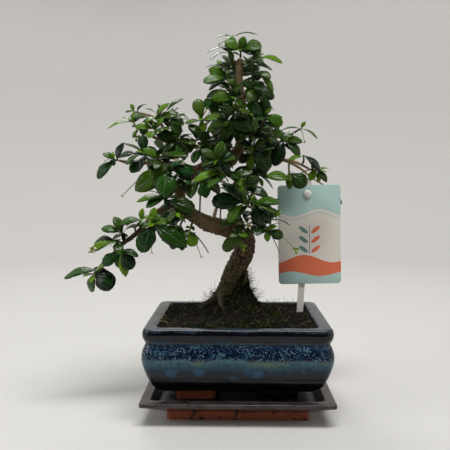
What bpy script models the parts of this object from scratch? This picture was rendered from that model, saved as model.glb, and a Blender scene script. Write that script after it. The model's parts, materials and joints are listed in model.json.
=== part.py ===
"""Fukien tea bonsai in a glazed pot on its drip tray, with a plant label standing in the soil.

Sizes are in millimetres and turned to metres when a mesh is made. +Z is up and -Y is the front.
The origin is the middle of the tray's flat underside. The wood is one piece, and so is every leafy
shoot that grows from it.
"""

import math
import random

import bpy
from mathutils import Matrix, Vector
from mathutils.bvhtree import BVHTree

MM = 0.001
GAP = 0.3

# Drip tray: length, depth, corner radius and height of each level
TRAY_BASE = (112.0, 80.0, 3.0)
TRAY_BASE_HEIGHT = 6.0
TRAY_RIM = (150.0, 116.0, 2.0)
TRAY_RIM_LOW = 16.0
TRAY_RIM_TOP = 19.0
TRAY_RIM_WIDTH = 8.0
TRAY_FLOOR = 14.7
TRAY_WELL_SLOPE = 5.0

# Pot
POT_RIM = (146.0, 110.0, 8.0)
POT_RIM_TOP = 75.0
POT_RIM_WIDTH = (11.0, 9.0)
POT_UNDERSIDE = 23.0
POT_FLOOR = 30.0
POT_FOOT = (30.0, 18.0, 3.0)
POT_FOOT_FLARE = 3.0
POT_FOOT_BURIED = 5.0
POT_FOOT_CENTRES = (33.0, 27.0)
DRAIN_HOLE_RADIUS = 7.0
DRAIN_HOLE_X = 30.0
DRAIN_MESH_SIDE = 21.0
DRAIN_MESH_THICKNESS = 1.2
DRAIN_MESH_SLOT = 5.0
DRAIN_MESH_SLOT_CENTRE = 3.5
CUT_PAST = 2.5

# Soil: each heap is its height, its centre and its reach, in X and Y
SOIL_EDGE_TOP = 73.2
SOIL_SPOKES = 20
SOIL_RINGS = (0.09, 0.18, 0.28, 0.42, 0.6, 0.8)
SOIL_CENTRE_X = -4.0
SOIL_HEAPS = ((8.0, -3, 6, 42, 30), (21.0, 4, -1, 6.5, 8), (16.0, 5, 0, 14, 14), (12.0, -17, 2, 10, 13))
SOIL_CRUMB = 0.9
TRUNK_BOTTOM = 52.0

# Plant label: a bank-card-size card on a stick
CARD = (54.0, 85.6, 0.9)
CARD_CORNER = 3.2
CARD_CENTRE = (62.0, 15.0, 141.5)
CARD_TILT = math.radians(1.2)
CARD_HOLE_RADIUS = 2.6
CARD_HOLE = (-1.5, 35.0)
STICK_WIDTH = 5.6
STICK_THICKNESS = 1.4
STICK_FOOT = (53.0, 48.0)
STICK_TOP = (61.0, 189.0)
STUD_RADIUS = 2.2
STUD_HEAD_RADIUS = 3.6
STUD_HEAD_HEIGHT = 1.2
STUD_IN_HEAD = 0.4

# Wood: the trunk's line with its radius, then each limb's two radii and its line, all chosen by eye
TRUNK_SIDES = 10
LIMB_SIDES = 5
PATH_STEPS = 2
BURIED_POINTS = 7
TRUNK_LINE = (
    (-11, 0, TRUNK_BOTTOM, 10.0), (-11, 0, 84, 9.8), (-5, 0, 106, 9.0), (6, -3, 132, 9.2),
    (0, -5, 145, 8.4), (-25, -11, 153, 6.8), (-44, -13, 166, 5.4), (-46, -10, 183, 4.8),
    (-31, -1, 198, 4.6), (-7, 5, 203, 4.8), (3, 5, 222, 4.3), (3, 3, 245, 4.0),
    (1, 1, 272, 3.4), (2, 0, 288, 2.6),
)
LIMBS = {
    "low_left": (3.4, 1.5, (
        (-46, -12, 171), (-63, -19, 163), (-80, -25, 146), (-93, -25, 136), (-109, -21, 119))),
    "mid_left": (2.7, 1.2, ((-33, -2, 197), (-57, -11, 202), (-86, -14, 202), (-97, -13, 204))),
    "high_left": (2.7, 1.2, ((0, 6, 211), (-31, -3, 215), (-61, -10, 220), (-79, -11, 229))),
    "high_left_upper": (1.7, 1.0, ((-54, -8, 218), (-60, -10, 230), (-68, -10, 239), (-81, -8, 243))),
    "left_riser": (1.7, 1.0, ((-27, -2, 214), (-29, -6, 222), (-30, -8, 235))),
    "crown_left": (1.8, 1.0, ((2, 3, 245), (-7, -2, 250), (-17, -7, 256))),
    "crown_right": (1.7, 1.0, ((2, 2, 254), (9, -2, 258), (17, -5, 261))),
    "right_high": (1.7, 1.0, ((4, 5, 229), (12, 2, 232), (20, -3, 235))),
    "right": (2.3, 1.1, ((2, 6, 220), (14, 9, 215), (27, 10, 216), (47, 7, 228))),
    "right_low": (2.5, 1.1, ((0, 6, 211), (14, 2, 206), (43, -5, 204), (59, -8, 197))),
    "right_hang": (1.6, 0.9, ((40, -4, 204), (52, 10, 199), (66, 25, 190), (80, 30, 182))),
    "back_mid": (2.2, 1.0, ((0, 6, 209), (3, 24, 213), (9, 42, 217), (15, 54, 218))),
    "back_left": (2.2, 1.0, ((-37, -3, 195), (-44, 13, 201), (-53, 30, 206), (-62, 42, 209))),
    "back_low": (2.4, 1.0, ((-19, -9, 151), (-20, 9, 158), (-17, 26, 167), (-10, 40, 174))),
    "front_mid": (1.9, 0.9, ((-12, 4, 202), (-9, -12, 200), (-9, -28, 195), (-11, -38, 190))),
    "front_high": (1.6, 0.9, ((3, 4, 237), (0, -12, 237), (-6, -24, 234))),
    "front_low": (1.6, 0.9, ((-46, -10, 182), (-50, -22, 186), (-55, -31, 187))),
    "centre_rise": (1.7, 0.9, ((6, -4, 141), (13, -9, 151), (12, -12, 163), (10, -12, 171))),
    "centre_right": (1.5, 0.9, ((7, -3, 140), (15, -11, 147), (21, -15, 148))),
}

# A leaf's shape, as shares of its length and of its half width; the width is for leaves by the rule
LEAF_THICKNESS = 0.7
LEAF_WIDTH = 0.56
LEAF_OUTLINE = ((0.35, 0.70), (0.75, 0.94))
LEAF_MIDDLE = 0.6
LEAF_ARCH = 0.10
LEAF_DROOP = 0.12
LEAF_FOLD = 0.22

# How leaves sit on a shoot
GOLDEN_ANGLE = math.radians(137.5)
ANGLE_DRAW = 0.3
LAST_LEAF_PLACE = 0.95
LEAFY_SHARE = 0.7
LEAF_SPREAD = (math.radians(72), math.radians(34))
LEAF_SAG = 0.12
LEAF_SIZE_DRAW = (0.82, 1.08)
LEAF_ROOT_DEPTH = 0.3
ROLL_DRAW = 0.4
AIMED_ROLL_DRAW = 0.12
BACK_STARTS_AT_Y = 12
LIGHT_ON_FRONT = (0, -0.45, 0.85)
LIGHT_ON_BACK = (0, 0.45, 0.85)

# The eye of someone in front of the tree, and how far towards it the core of an aimed leaf keeps others
# away
EYE = (0, -466, 182)
CLEAR_SHARE = 0.12
CLEAR_CORE = 0.65

# How a leaf is bent clear: its tries, and the space that is kept round wood, stems and blades
LEAF_TRIES = 16
TURN_PER_TRY = 0.06
SHRINK_PER_TRY = 0.02
WOOD_SPACE = 0.4
STEM_SPACE = 0.35
LEAF_SPACE = 0.35
OWN_LEAF_SPACE = 0.2
OWN_LEAF_START = 0.4

# Leafy shoots: limb, place along it from 0 to 1, reach of the stem, leaves by the rule, leaf length, and
# the leaves that are aimed by hand, each as its place on the stem, its own reach, how far in degrees its
# face turns up from the front, and its width as a share of its length
SHOOT_RADIUS = (0.95, 0.65)
SHOOT_SIDES = 4
SHOOT_BEND = 0.45
YOUNG_LEAF_LENGTH = 15
SHOOTS = (
    ("low_left", 1.00, (-6, -2, -7), 2, 17, (
        (0.6, (-27, -3, -3), 62, 0.50), (1.0, (12, -9, 12), 55, 0.50),
        (1.0, (14, -10, -6), 10, 0.60), (0.1, (12, -5, -19), 15, 0.80))),
    ("low_left", 0.76, (2, -6, -4), 3, 17, (
        (1.0, (-15, -3, -8), 20, 0.62), (1.0, (9, -6, -11), 20, 0.72),
        (0.8, (4, -6, -18), 55, 0.45))),
    ("low_left", 0.72, (-6, -5, 1), 2, 17, (
        (1.0, (-19, -4, -6), 50, 0.50), (0.5, (-20, 2, -1), 45, 0.60))),
    ("low_left", 0.62, (-6, -2, 4), 3, 17, (
        (1.0, (-14, -2, 4), 50, 0.56), (0.6, (12, -6, 8), 62, 0.50))),
    ("low_left", 0.50, (6, -5, 10), 3, 12, (
        (1.0, (-18, -2, -2), 52, 0.50), (0.9, (-11, -5, -8), 70, 0.50),
        (1.0, (1, -3, 9), 40, 0.50), (1.0, (5, -6, 7), 40, 0.50))),
    ("low_left", 0.38, (5, -9, 0), 1, 18, (
        (1.0, (26, -6, -17), 12, 0.46), (1.0, (-5, -8, -17), 8, 0.68),
        (0.7, (-8, -3, -22), 20, 0.62), (0.9, (15, -4, 2), 48, 0.56),
        (0.9, (2, -5, 12), 35, 0.50))),
    ("low_left", 0.18, (1, -7, 7), 3, 17, (
        (1.0, (-22, -3, -1), 62, 0.45), (0.9, (-14, -7, -6), 45, 0.56), (0.7, (23, -6, -7), 12, 0.55))),
    ("mid_left", 1.00, (-4, -1, 1), 1, 11, (
        (0.1, (-17, -3, -13), 42, 0.50), (0.2, (17, -5, 11), 66, 0.45), (0.4, (14, -8, 6), 52, 0.50),
        (0.6, (-8, -6, 5), 40, 0.60), (1.0, (-2, -2, 7), 50, 0.50))),
    ("mid_left", 0.40, (0, -12, 3), 5, 18, (
        (1.0, (23, -5, 3), 50, 0.36), (1.0, (-11, -5, 7), 20, 0.55))),
    ("mid_left", 0.33, (1, -12, -4), 3, 18, (
        (1.0, (-25, -5, -17), 6, 0.50), (0.9, (20, -4, -3), 28, 0.56))),
    ("high_left", 1.00, (-6, -1, 6), 1, 10, (
        (1.0, (-20, -3, -3), 66, 0.50), (0.1, (-5, -4, -7), 60, 0.50))),
    ("high_left", 0.80, (3, -7, 4), 2, 14, (
        (1.0, (-15, -4, 3), 48, 0.50), (1.0, (6, -5, 9), 40, 0.56))),
    ("high_left", 0.50, (-3, -9, 3), 8, 19, (
        (1.0, (14, -5, -3), 45, 0.50), (1.0, (-14, -5, 4), 15, 0.60), (0.8, (-10, -6, -8), 20, 0.60))),
    ("high_left", 0.34, (10, -13, 0), 9, 19, ()),
    ("high_left_upper", 1.00, (-4, 0, 1), 0, 10, (
        (1.0, (-2, -2, 6), 40, 0.55), (0.8, (-7, -3, 0), 50, 0.50),
        (0.3, (16, -5, 4), 66, 0.45), (0.2, (16, -8, -6), 50, 0.50))),
    ("high_left_upper", 0.55, (0, -5, 3), 2, 13, (
        (1.0, (9, -4, 10), 50, 0.50), (1.0, (-8, -5, 6), 62, 0.50), (0.6, (15, -7, 2), 30, 0.56))),
    ("high_left_upper", 0.30, (5, -9, 6), 7, 17, (
        (1.0, (-7, -4, 7), 15, 0.62), (1.0, (15, -5, 6), 60, 0.50), (0.9, (10, -8, -8), 15, 0.60))),
    ("left_riser", 1.00, (1, -3, 2), 2, 14, (
        (1.0, (-4, -2, 16), 15, 0.60), (0.1, (21, -8, -3), 33, 0.50), (0.2, (-12, -6, -1), 45, 0.45))),
    ("crown_left", 1.00, (-1, -3, -2), 5, 16, (
        (1.0, (-9, -4, -7), 15, 0.70), (0.9, (-2, -6, -14), 20, 0.62))),
    ("crown_left", 0.50, (3, -8, 4), 6, 16, ((1.0, (-18, -5, 0), 12, 0.60),)),
    ("crown_right", 1.00, (-4, -6, 0), 6, 17, (
        (1.0, (15, -5, -7), 25, 0.56), (1.0, (-10, -5, 6), 20, 0.62))),
    ("right_high", 1.00, (1, -9, 6), 6, 17, (
        (1.0, (14, -4, -8), 6, 0.65), (1.0, (-13, -6, 8), 10, 0.80), (1.0, (4, -5, 4), 30, 0.60))),
    ("right", 1.00, (6, -3, 3), 0, 9, (
        (0.9, (-16, 3, 1), 78, 0.45), (1.0, (3, -2, 6), 30, 0.50), (1.0, (14, -3, -7), 70, 0.40))),
    ("right", 0.80, (4, -11, 1), 4, 17, (
        (1.0, (-9, -5, 8), 25, 0.60), (0.9, (-8, -6, -20), 20, 0.55), (1.0, (13, -4, -13), 52, 0.50))),
    ("right", 0.50, (8, 14, 4), 8, 19, ()),
    ("right_low", 1.00, (6, -1, -1), 1, 12, (
        (1.0, (8, -3, -9), 50, 0.50), (0.8, (-6, -4, -8), 30, 0.56), (1.0, (0, -3, -10), 50, 0.50))),
    ("right_low", 0.85, (0, -3, 7), 0, 17, (
        (1.0, (14, -3, -11), 58, 0.62), (0.8, (-12, -5, -2), 60, 0.50))),
    ("right_low", 0.66, (1, -6, -15), 1, 17, (
        (1.0, (-19, -3, 4), 33, 0.46), (0.6, (13, -4, -10), 12, 0.75), (0.4, (2, -5, -16), 65, 0.40))),
    ("right_low", 0.33, (-1, -12, 6), 6, 18, (
        (1.0, (12, -4, -16), 5, 0.72), (0.8, (-2, -7, -16), 50, 0.50), (1.0, (8, -5, 8), 30, 0.50))),
    ("right_hang", 1.00, (4, 3, -8), 0, 13, (
        (1.0, (10, 1, -6), 50, 0.50), (0.8, (-11, 5, -8), 30, 0.56), (0.6, (3, 13, -9), 60, 0.56),
        (0.5, (-4, -3, -14), 20, 0.56))),
    ("back_mid", 1.00, (4, 9, 0), 10, 20, ()),
    ("back_left", 1.00, (-6, 8, 2), 10, 20, ()),
    ("back_low", 1.00, (4, 9, 3), 10, 20, ()),
    ("front_mid", 1.00, (-1, -5, 3), 3, 18, ((1.0, (-21, -3, -4), 60, 0.50),)),
    ("front_mid", 0.66, (-6, -10, 7), 6, 18, (
        (1.0, (11, -3, -19), 50, 0.50), (1.0, (-12, -3, 8), 20, 0.60), (0.9, (3, -5, 14), 20, 0.60))),
    ("front_high", 1.00, (-2, -5, 0), 5, 18, (
        (1.0, (18, -4, -6), 10, 0.62), (1.0, (-14, -4, -5), 15, 0.60))),
    ("front_low", 1.00, (1, -4, 8), 1, 16, ((1.0, (-2, -6, -19), 5, 0.95),)),
    ("centre_rise", 1.00, (-6, -8, 14), 3, 17, (
        (1.0, (11, -3, 6), 20, 0.62), (1.0, (11, -6, -1), 50, 0.60), (0.7, (18, -4, -5), 42, 0.50))),
    ("centre_rise", 0.80, (-6, -12, 4), 3, 17, (
        (1.0, (-25, -2, 2), 10, 0.58), (0.9, (-16, -8, 16), 50, 0.45),
        (1.0, (-13, -3, -14), 40, 0.50))),
    ("centre_rise", 0.60, (0, -12, 10), 3, 17, (
        (1.0, (20, -2, 2), 50, 0.50), (1.0, (19, -8, -1), 64, 0.50), (0.9, (15, -6, -13), 8, 0.80))),
    ("centre_right", 1.00, (3, -3, -1), 2, 13, (
        (1.0, (12, -4, -4), 12, 0.65), (0.4, (8, -7, 4), 40, 0.50), (0.9, (0, -5, -8), 30, 0.60))),
    ("trunk", 0.310, (-1, -10, 0), 2, 15, (
        (1.0, (-11, -4, -12), 10, 0.60), (0.8, (-15, -7, -6), 35, 0.56))),
    ("trunk", 0.420, (-2, -13, -9), 1, 12, (
        (1.0, (4, -4, -10), 8, 0.85), (0.9, (-7, -3, -6), 30, 0.56))),
    ("trunk", 0.740, (-11, 8, 6), 9, 19, ()),
    ("trunk", 0.785, (6, -13, 0), 9, 19, ()),
    ("trunk", 0.815, (10, 9, 4), 9, 19, ()),
    ("trunk", 0.915, (-8, -7, 2), 2, 16, (
        (1.0, (-14, -3, 7), 10, 0.62), (1.0, (-23, -4, 2), 38, 0.50), (0.8, (-16, -5, -8), 70, 0.50))),
    ("trunk", 0.935, (12, -6, 2), 5, 16, (
        (1.0, (14, -4, -16), 60, 0.36), (0.9, (11, -7, -6), 30, 0.60))),
    ("trunk", 0.960, (12, -4, 8), 2, 14, (
        (1.0, (20, -3, -3), 45, 0.40), (0.6, (8, -6, -10), 20, 0.60))),
    ("trunk", 0.975, (-7, -4, 12), 1, 14, (
        (1.0, (-17, -3, -2), 66, 0.50), (0.8, (-15, -7, -5), 70, 0.45))),
    ("trunk", 0.985, (-4, 4, 23), 0, 14, (
        (1.0, (20, 2, 5), 68, 0.40), (1.0, (-14, 2, 2), 62, 0.40))),
    ("trunk", 1.000, (0, -3, 7), 2, 14, (
        (1.0, (-12, -5, 5), 15, 0.80), (1.0, (3, -4, 9), 20, 0.75),
        (0.9, (17, -3, 3), 10, 0.70), (0.7, (13, -9, -1), 30, 0.60))),
)


def clear_scene():
    for thing in list(bpy.data.objects):
        bpy.data.objects.remove(thing)


def linear(hex_colour):
    """Linear RGB from an sRGB hex value."""
    channels = [int(hex_colour[i:i + 2], 16) / 255 for i in (0, 2, 4)]
    return [c / 12.92 if c <= 0.04045 else ((c + 0.055) / 1.055) ** 2.4 for c in channels]


def finish(name, hex_colour, roughness, metallic=0.0):
    """A Principled material of one colour."""
    material = bpy.data.materials.new(name)
    material.use_nodes = True
    shader = material.node_tree.nodes["Principled BSDF"]
    shader.inputs["Base Color"].default_value = linear(hex_colour) + [1.0]
    shader.inputs["Roughness"].default_value = roughness
    shader.inputs["Metallic"].default_value = metallic
    return material


def add_piece(name, shape, material=None):
    """An object from a shape, which is its points in millimetres and its faces."""
    points, faces = shape
    mesh = bpy.data.meshes.new(name)
    mesh.from_pydata([tuple(p * MM) for p in points], [], faces)
    mesh.update()
    thing = bpy.data.objects.new(name, mesh)
    bpy.context.scene.collection.objects.link(thing)
    if material:
        mesh.materials.append(material)
    return thing


def combine(target, others, operation):
    """One Boolean of the target with a collection of others, applied; the others are then removed."""
    group = bpy.data.collections.new(target.name + "_tools")
    bpy.context.scene.collection.children.link(group)
    for other in others:
        bpy.context.scene.collection.objects.unlink(other)
        group.objects.link(other)
    modifier = target.modifiers.new("Combine", "BOOLEAN")
    modifier.operation = operation
    modifier.operand_type = "COLLECTION"
    modifier.collection = group
    modifier.solver = "EXACT"
    graph = bpy.context.evaluated_depsgraph_get()
    mesh = bpy.data.meshes.new_from_object(target.evaluated_get(graph), depsgraph=graph)
    target.modifiers.clear()
    target.data = mesh
    for other in others:
        bpy.data.objects.remove(other)
    bpy.data.collections.remove(group)


def rounded_ring(size, z, arc_steps=3):
    """Points of a rounded rectangle, from its length, depth and corner radius, at one height."""
    length, depth, radius = size
    ring = []
    for corner, (sx, sy) in enumerate(((1, 1), (-1, 1), (-1, -1), (1, -1))):
        for step in range(arc_steps + 1):
            angle = math.pi / 2 * (corner + step / arc_steps)
            x = sx * (length / 2 - radius) + radius * math.cos(angle)
            y = sy * (depth / 2 - radius) + radius * math.sin(angle)
            ring.append(Vector((x, y, z)))
    return ring


def loft(rings):
    """A closed shape through rings of equal count, with a cap on the first and the last."""
    count = len(rings[0])
    points = [point for ring in rings for point in ring]
    faces = []
    for level in range(len(rings) - 1):
        for k in range(count):
            a = level * count + k
            b = level * count + (k + 1) % count
            faces.append((a, b, b + count, a + count))
    faces.append(tuple(reversed(range(count))))
    faces.append(tuple(range(len(points) - count, len(points))))
    return points, faces


def box(centre, size):
    """A plain block."""
    half = Vector(size) / 2
    rings = []
    for sz in (-1, 1):
        corners = [Vector((sx, sy, sz)) for sx, sy in ((-1, -1), (1, -1), (1, 1), (-1, 1))]
        rings.append([Vector(centre) + corner * half for corner in corners])
    return loft(rings)


def cylinder(centre, radius, height, sides):
    """A round bar standing along Z."""
    rings = []
    for z in (-height / 2, height / 2):
        ring = []
        for k in range(sides):
            angle = 2 * math.pi * k / sides
            ring.append(Vector(centre) + Vector((radius * math.cos(angle), radius * math.sin(angle), z)))
        rings.append(ring)
    return loft(rings)


def shrunk(size, inset):
    """A rounded rectangle's size, drawn in on every side."""
    return (size[0] - 2 * inset, size[1] - 2 * inset, max(size[2] - inset, 0.5))


def make_tray():
    """Pressed tray: bare foot, sloping walls, flat mitred rim and a shallow well."""
    well_edge = shrunk(TRAY_RIM, TRAY_RIM_WIDTH)
    rings = [
        rounded_ring(TRAY_BASE, 0.0),
        rounded_ring(TRAY_BASE, TRAY_BASE_HEIGHT),
        rounded_ring(shrunk(TRAY_BASE, -1.5), TRAY_BASE_HEIGHT + 1.0),
        rounded_ring(shrunk(TRAY_RIM, 2.5), TRAY_RIM_LOW - 1.0),
        rounded_ring(TRAY_RIM, TRAY_RIM_LOW),
        rounded_ring(TRAY_RIM, TRAY_RIM_TOP - 0.6),
        rounded_ring(shrunk(TRAY_RIM, 0.6), TRAY_RIM_TOP),
        rounded_ring(well_edge, TRAY_RIM_TOP),
        rounded_ring(shrunk(well_edge, TRAY_WELL_SLOPE), TRAY_FLOOR),
    ]
    add_piece("drip_tray", loft(rings), finish("tray glaze", "1B1512", 0.25))


def pot_outside():
    """Rounded rectangles up the pot's outside, from the underside to the rim."""
    curve = (
        (POT_UNDERSIDE, 15.0), (26.5, 10.5), (31.0, 6.8), (37.0, 3.4), (44.0, 0.6), (51.0, -1.0),
        (57.0, -0.4), (61.0, 1.2), (63.2, 2.2), (65.2, 1.6), (67.5, 0.2), (71.0, -0.3), (73.8, 0.4),
    )
    return [(z, shrunk(POT_RIM, inset)) for z, inset in curve]


def pot_inside():
    """Rounded rectangles down the pot's inside, from the rim's inner edge to the floor."""
    mouth = (POT_RIM[0] - 2 * POT_RIM_WIDTH[0], POT_RIM[1] - 2 * POT_RIM_WIDTH[1], 6.0)
    levels = ((72.6, 0.8), (64.0, 1.0), (51.0, -2.4), (38.0, 1.2), (33.0, 4.6), (POT_FLOOR, 8.0))
    return [(z, shrunk(mouth, inset)) for z, inset in levels], mouth


def make_pot():
    """Glazed pot on four feet: rolled rim, groove, full belly, and two drain holes in its floor."""
    inside, mouth = pot_inside()
    rings = [rounded_ring(size, z) for z, size in pot_outside()]
    rings.append(rounded_ring(shrunk(POT_RIM, 2.0), POT_RIM_TOP))
    rings.append(rounded_ring(shrunk(mouth, -2.0), POT_RIM_TOP))
    rings.append(rounded_ring(mouth, POT_RIM_TOP - 0.7))
    rings.extend(rounded_ring(size, z) for z, size in inside)
    pot = add_piece("pot", loft(rings), finish("pot glaze", "24384C", 0.2))
    x, y = POT_FOOT_CENTRES
    levels = (
        rounded_ring(POT_FOOT, TRAY_FLOOR + GAP, 2),
        rounded_ring(shrunk(POT_FOOT, -POT_FOOT_FLARE), POT_UNDERSIDE + POT_FOOT_BURIED, 2),
    )
    feet = []
    for corner in (Vector((-x, -y, 0)), Vector((x, -y, 0)), Vector((x, y, 0)), Vector((-x, y, 0))):
        feet.append(add_piece("foot", loft([[point + corner for point in ring] for ring in levels])))
    combine(pot, feet, "UNION")
    drills = []
    for sx in (-1, 1):
        middle = (sx * DRAIN_HOLE_X, 0, (POT_FLOOR + POT_UNDERSIDE) / 2)
        height = POT_FLOOR - POT_UNDERSIDE + 2 * CUT_PAST
        drills.append(add_piece("drill", cylinder(middle, DRAIN_HOLE_RADIUS, height, 16)))
    combine(pot, drills, "DIFFERENCE")


def make_drain_meshes():
    """A square of plastic mesh over each drain hole, which keeps the soil in."""
    plastic = finish("drain mesh plastic", "2A2A2A", 0.5)
    plate_size = (DRAIN_MESH_SIDE, DRAIN_MESH_SIDE, DRAIN_MESH_THICKNESS)
    slot_size = (DRAIN_MESH_SLOT, DRAIN_MESH_SLOT, DRAIN_MESH_THICKNESS + 2 * CUT_PAST)
    for name, sx in (("drain_mesh_left", -1), ("drain_mesh_right", 1)):
        middle = Vector((sx * DRAIN_HOLE_X, 0, POT_FLOOR + GAP + DRAIN_MESH_THICKNESS / 2))
        mesh = add_piece(name, box(middle, plate_size), plastic)
        slots = []
        for column in (-DRAIN_MESH_SLOT_CENTRE, DRAIN_MESH_SLOT_CENTRE):
            for row in (-DRAIN_MESH_SLOT_CENTRE, DRAIN_MESH_SLOT_CENTRE):
                slots.append(add_piece("slot", box(middle + Vector((column, row, 0)), slot_size)))
        combine(mesh, slots, "DIFFERENCE")


def soil_height(x, y, edge):
    """Height of the soil: level at the pot's rim, where edge is 1, and heaped up round the trunk."""
    rise = SOIL_CRUMB * math.sin(0.55 * x + 0.3 * y) * math.cos(0.47 * y - 0.2 * x)
    for height, centre_x, centre_y, reach_x, reach_y in SOIL_HEAPS:
        rise += height * math.exp(-((x - centre_x) / reach_x) ** 2 - ((y - centre_y) / reach_y) ** 2)
    return SOIL_EDGE_TOP + rise * (1 - edge ** 4)


def spoke_ring(size, z):
    """Points of a rounded rectangle at even angles round its middle, so its long sides have some too."""
    length, depth, radius = size
    corner = Vector((length / 2 - radius, depth / 2 - radius))
    ring = []
    for k in range(SOIL_SPOKES):
        angle = 2 * math.pi * k / SOIL_SPOKES
        ray = Vector((abs(math.cos(angle)), abs(math.sin(angle))))
        reach = min(length / 2 / max(ray.x, 1e-9), depth / 2 / max(ray.y, 1e-9))
        if ray.x * reach > corner.x and ray.y * reach > corner.y:
            near = ray.dot(corner)
            reach = near + math.sqrt(near ** 2 - corner.length_squared + radius ** 2)
        ring.append(Vector((math.cos(angle) * reach, math.sin(angle) * reach, z)))
    return ring


def make_soil():
    """Packed soil that fills the pot, with plain holes for the trunk and for the label's stick."""
    inside = pot_inside()[0]
    edge_ring = spoke_ring(shrunk(inside[0][1], GAP), SOIL_EDGE_TOP)
    centre = Vector((SOIL_CENTRE_X, 0, 0))
    rings = []
    for edge in SOIL_RINGS:
        ring = []
        for point in edge_ring:
            spot = centre.lerp(Vector((point.x, point.y, 0)), edge)
            ring.append(Vector((spot.x, spot.y, soil_height(spot.x, spot.y, edge))))
        rings.append(ring)
    rings.append(edge_ring)
    rings.extend(spoke_ring(shrunk(size, GAP), z) for z, size in inside[:-1])
    soil_bottom = POT_FLOOR + 2 * GAP + DRAIN_MESH_THICKNESS
    rings.append(spoke_ring(shrunk(inside[-1][1], GAP), soil_bottom))
    rings.reverse()
    soil = add_piece("soil", loft(rings), finish("soil", "2B2119", 0.95))
    buried = [Vector((p.x, p.y, p.z, p.w + GAP)) for p in trunk_path()[:BURIED_POINTS]]
    buried[0] = buried[0] - Vector((0, 0, GAP, 0))
    trunk_hole = add_piece("trunk hole", tube(buried, TRUNK_SIDES))
    stick_hole = add_piece("stick hole", stick_bar(GAP))
    combine(soil, [trunk_hole, stick_hole], "DIFFERENCE")
    return soil


def stick_bar(extra=0.0):
    """The flat stick of the plant label, leaning a little to the right, just behind the card."""
    y = CARD_CENTRE[1] + CARD[2] / 2 + GAP + STICK_THICKNESS / 2
    rings = []
    for x, z in ((STICK_FOOT[0], STICK_FOOT[1] - extra), STICK_TOP):
        half_width = STICK_WIDTH / 2 + extra
        half_depth = STICK_THICKNESS / 2 + extra
        signs = ((-1, -1), (1, -1), (1, 1), (-1, 1))
        rings.append([Vector((x + sx * half_width, y + sy * half_depth, z)) for sx, sy in signs])
    return loft(rings)


def card_point(x, z, y=0.0):
    """A point of the card from its own coordinates, with the card's small tilt."""
    turn = Matrix.Rotation(-CARD_TILT, 3, "Y")
    return Vector(CARD_CENTRE) + turn @ Vector((x, y, z))


def bar_across(centre, radius, depth, sides):
    """A round bar lying along Y, from the card's own coordinates."""
    rings = []
    for y in depth:
        ring = []
        for k in range(sides):
            angle = 2 * math.pi * k / sides
            x = centre[0] + radius * math.cos(angle)
            z = centre[1] + radius * math.sin(angle)
            ring.append(card_point(x, z, y))
        rings.append(ring)
    return loft([list(reversed(ring)) for ring in rings])


def make_label():
    """The stick with the stud that carries the card, and the card with its rounded corners and its hole."""
    stick = add_piece("label_stick", stick_bar(), finish("stick plastic", "E8E8E2", 0.35))
    back = CARD[2] / 2 + GAP + STICK_THICKNESS / 2
    front = -CARD[2] / 2 - GAP
    stud = add_piece("stud", bar_across(CARD_HOLE, STUD_RADIUS, (front - STUD_IN_HEAD, back), 12))
    head_depth = (front - STUD_HEAD_HEIGHT, front)
    head = add_piece("head", bar_across(CARD_HOLE, STUD_HEAD_RADIUS, head_depth, 14))
    combine(stick, [stud, head], "UNION")
    outline = rounded_ring((CARD[0], CARD[1], CARD_CORNER), 0, 5)
    rings = [[card_point(p.x, p.y, y) for p in reversed(outline)] for y in (-CARD[2] / 2, CARD[2] / 2)]
    card = add_piece("label_card", loft(rings), finish("printed card", "C9D6CF", 0.4))
    punch = add_piece("punch", bar_across(CARD_HOLE, CARD_HOLE_RADIUS, (-CUT_PAST, CUT_PAST), 14))
    combine(card, [punch], "DIFFERENCE")
    return stick, card


def smooth_path(points, steps):
    """A smooth curve through the points, with this many pieces between each two of them."""
    ends = [points[0] * 2 - points[1]] + points + [points[-1] * 2 - points[-2]]
    path = []
    for before, start, end, after in zip(ends, ends[1:], ends[2:], ends[3:]):
        for step in range(steps):
            u = step / steps
            bend = (2 * before - 5 * start + 4 * end - after) * u * u
            twist = (3 * start - before - 3 * end + after) * u ** 3
            path.append((2 * start + (end - before) * u + bend + twist) / 2)
    return path + [points[-1]]


def trunk_path():
    return smooth_path([Vector(point) for point in TRUNK_LINE], PATH_STEPS)


def limb_path(name):
    """A limb's smooth line with the radius in the fourth place."""
    if name == "trunk":
        return trunk_path()
    first, last, line = LIMBS[name]
    points = []
    for index, point in enumerate(line):
        points.append(Vector(point + (first + (last - first) * index / (len(line) - 1),)))
    return smooth_path(points, PATH_STEPS)


def along(path, place):
    """The point and the direction at a place from 0 to 1 on a path."""
    spot = place * (len(path) - 1)
    index = min(int(spot), len(path) - 2)
    point = path[index].lerp(path[index + 1], spot - index)
    return point, (path[index + 1].to_3d() - path[index].to_3d()).normalized()


def tube(path, sides, extra=0.0):
    """A closed tube along a path whose points hold x, y, z and the radius."""
    rings = []
    across = None
    for index, point in enumerate(path):
        ahead = path[min(index + 1, len(path) - 1)].to_3d() - path[max(index - 1, 0)].to_3d()
        ahead.normalize()
        across = ahead.orthogonal() if across is None else across - ahead * across.dot(ahead)
        across.normalize()
        beside = ahead.cross(across)
        ring = []
        for k in range(sides):
            angle = 2 * math.pi * k / sides
            out = across * math.cos(angle) + beside * math.sin(angle)
            ring.append(point.to_3d() + out * (point.w + extra))
        rings.append(ring)
    return loft(rings)


def make_wood():
    """Trunk and limbs, grown as one piece."""
    wood = add_piece("trunk", tube(trunk_path(), TRUNK_SIDES), finish("bark", "6B5B45", 0.85))
    limbs = [add_piece(name, tube(limb_path(name), LIMB_SIDES)) for name in LIMBS]
    combine(wood, limbs, "UNION")


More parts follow.
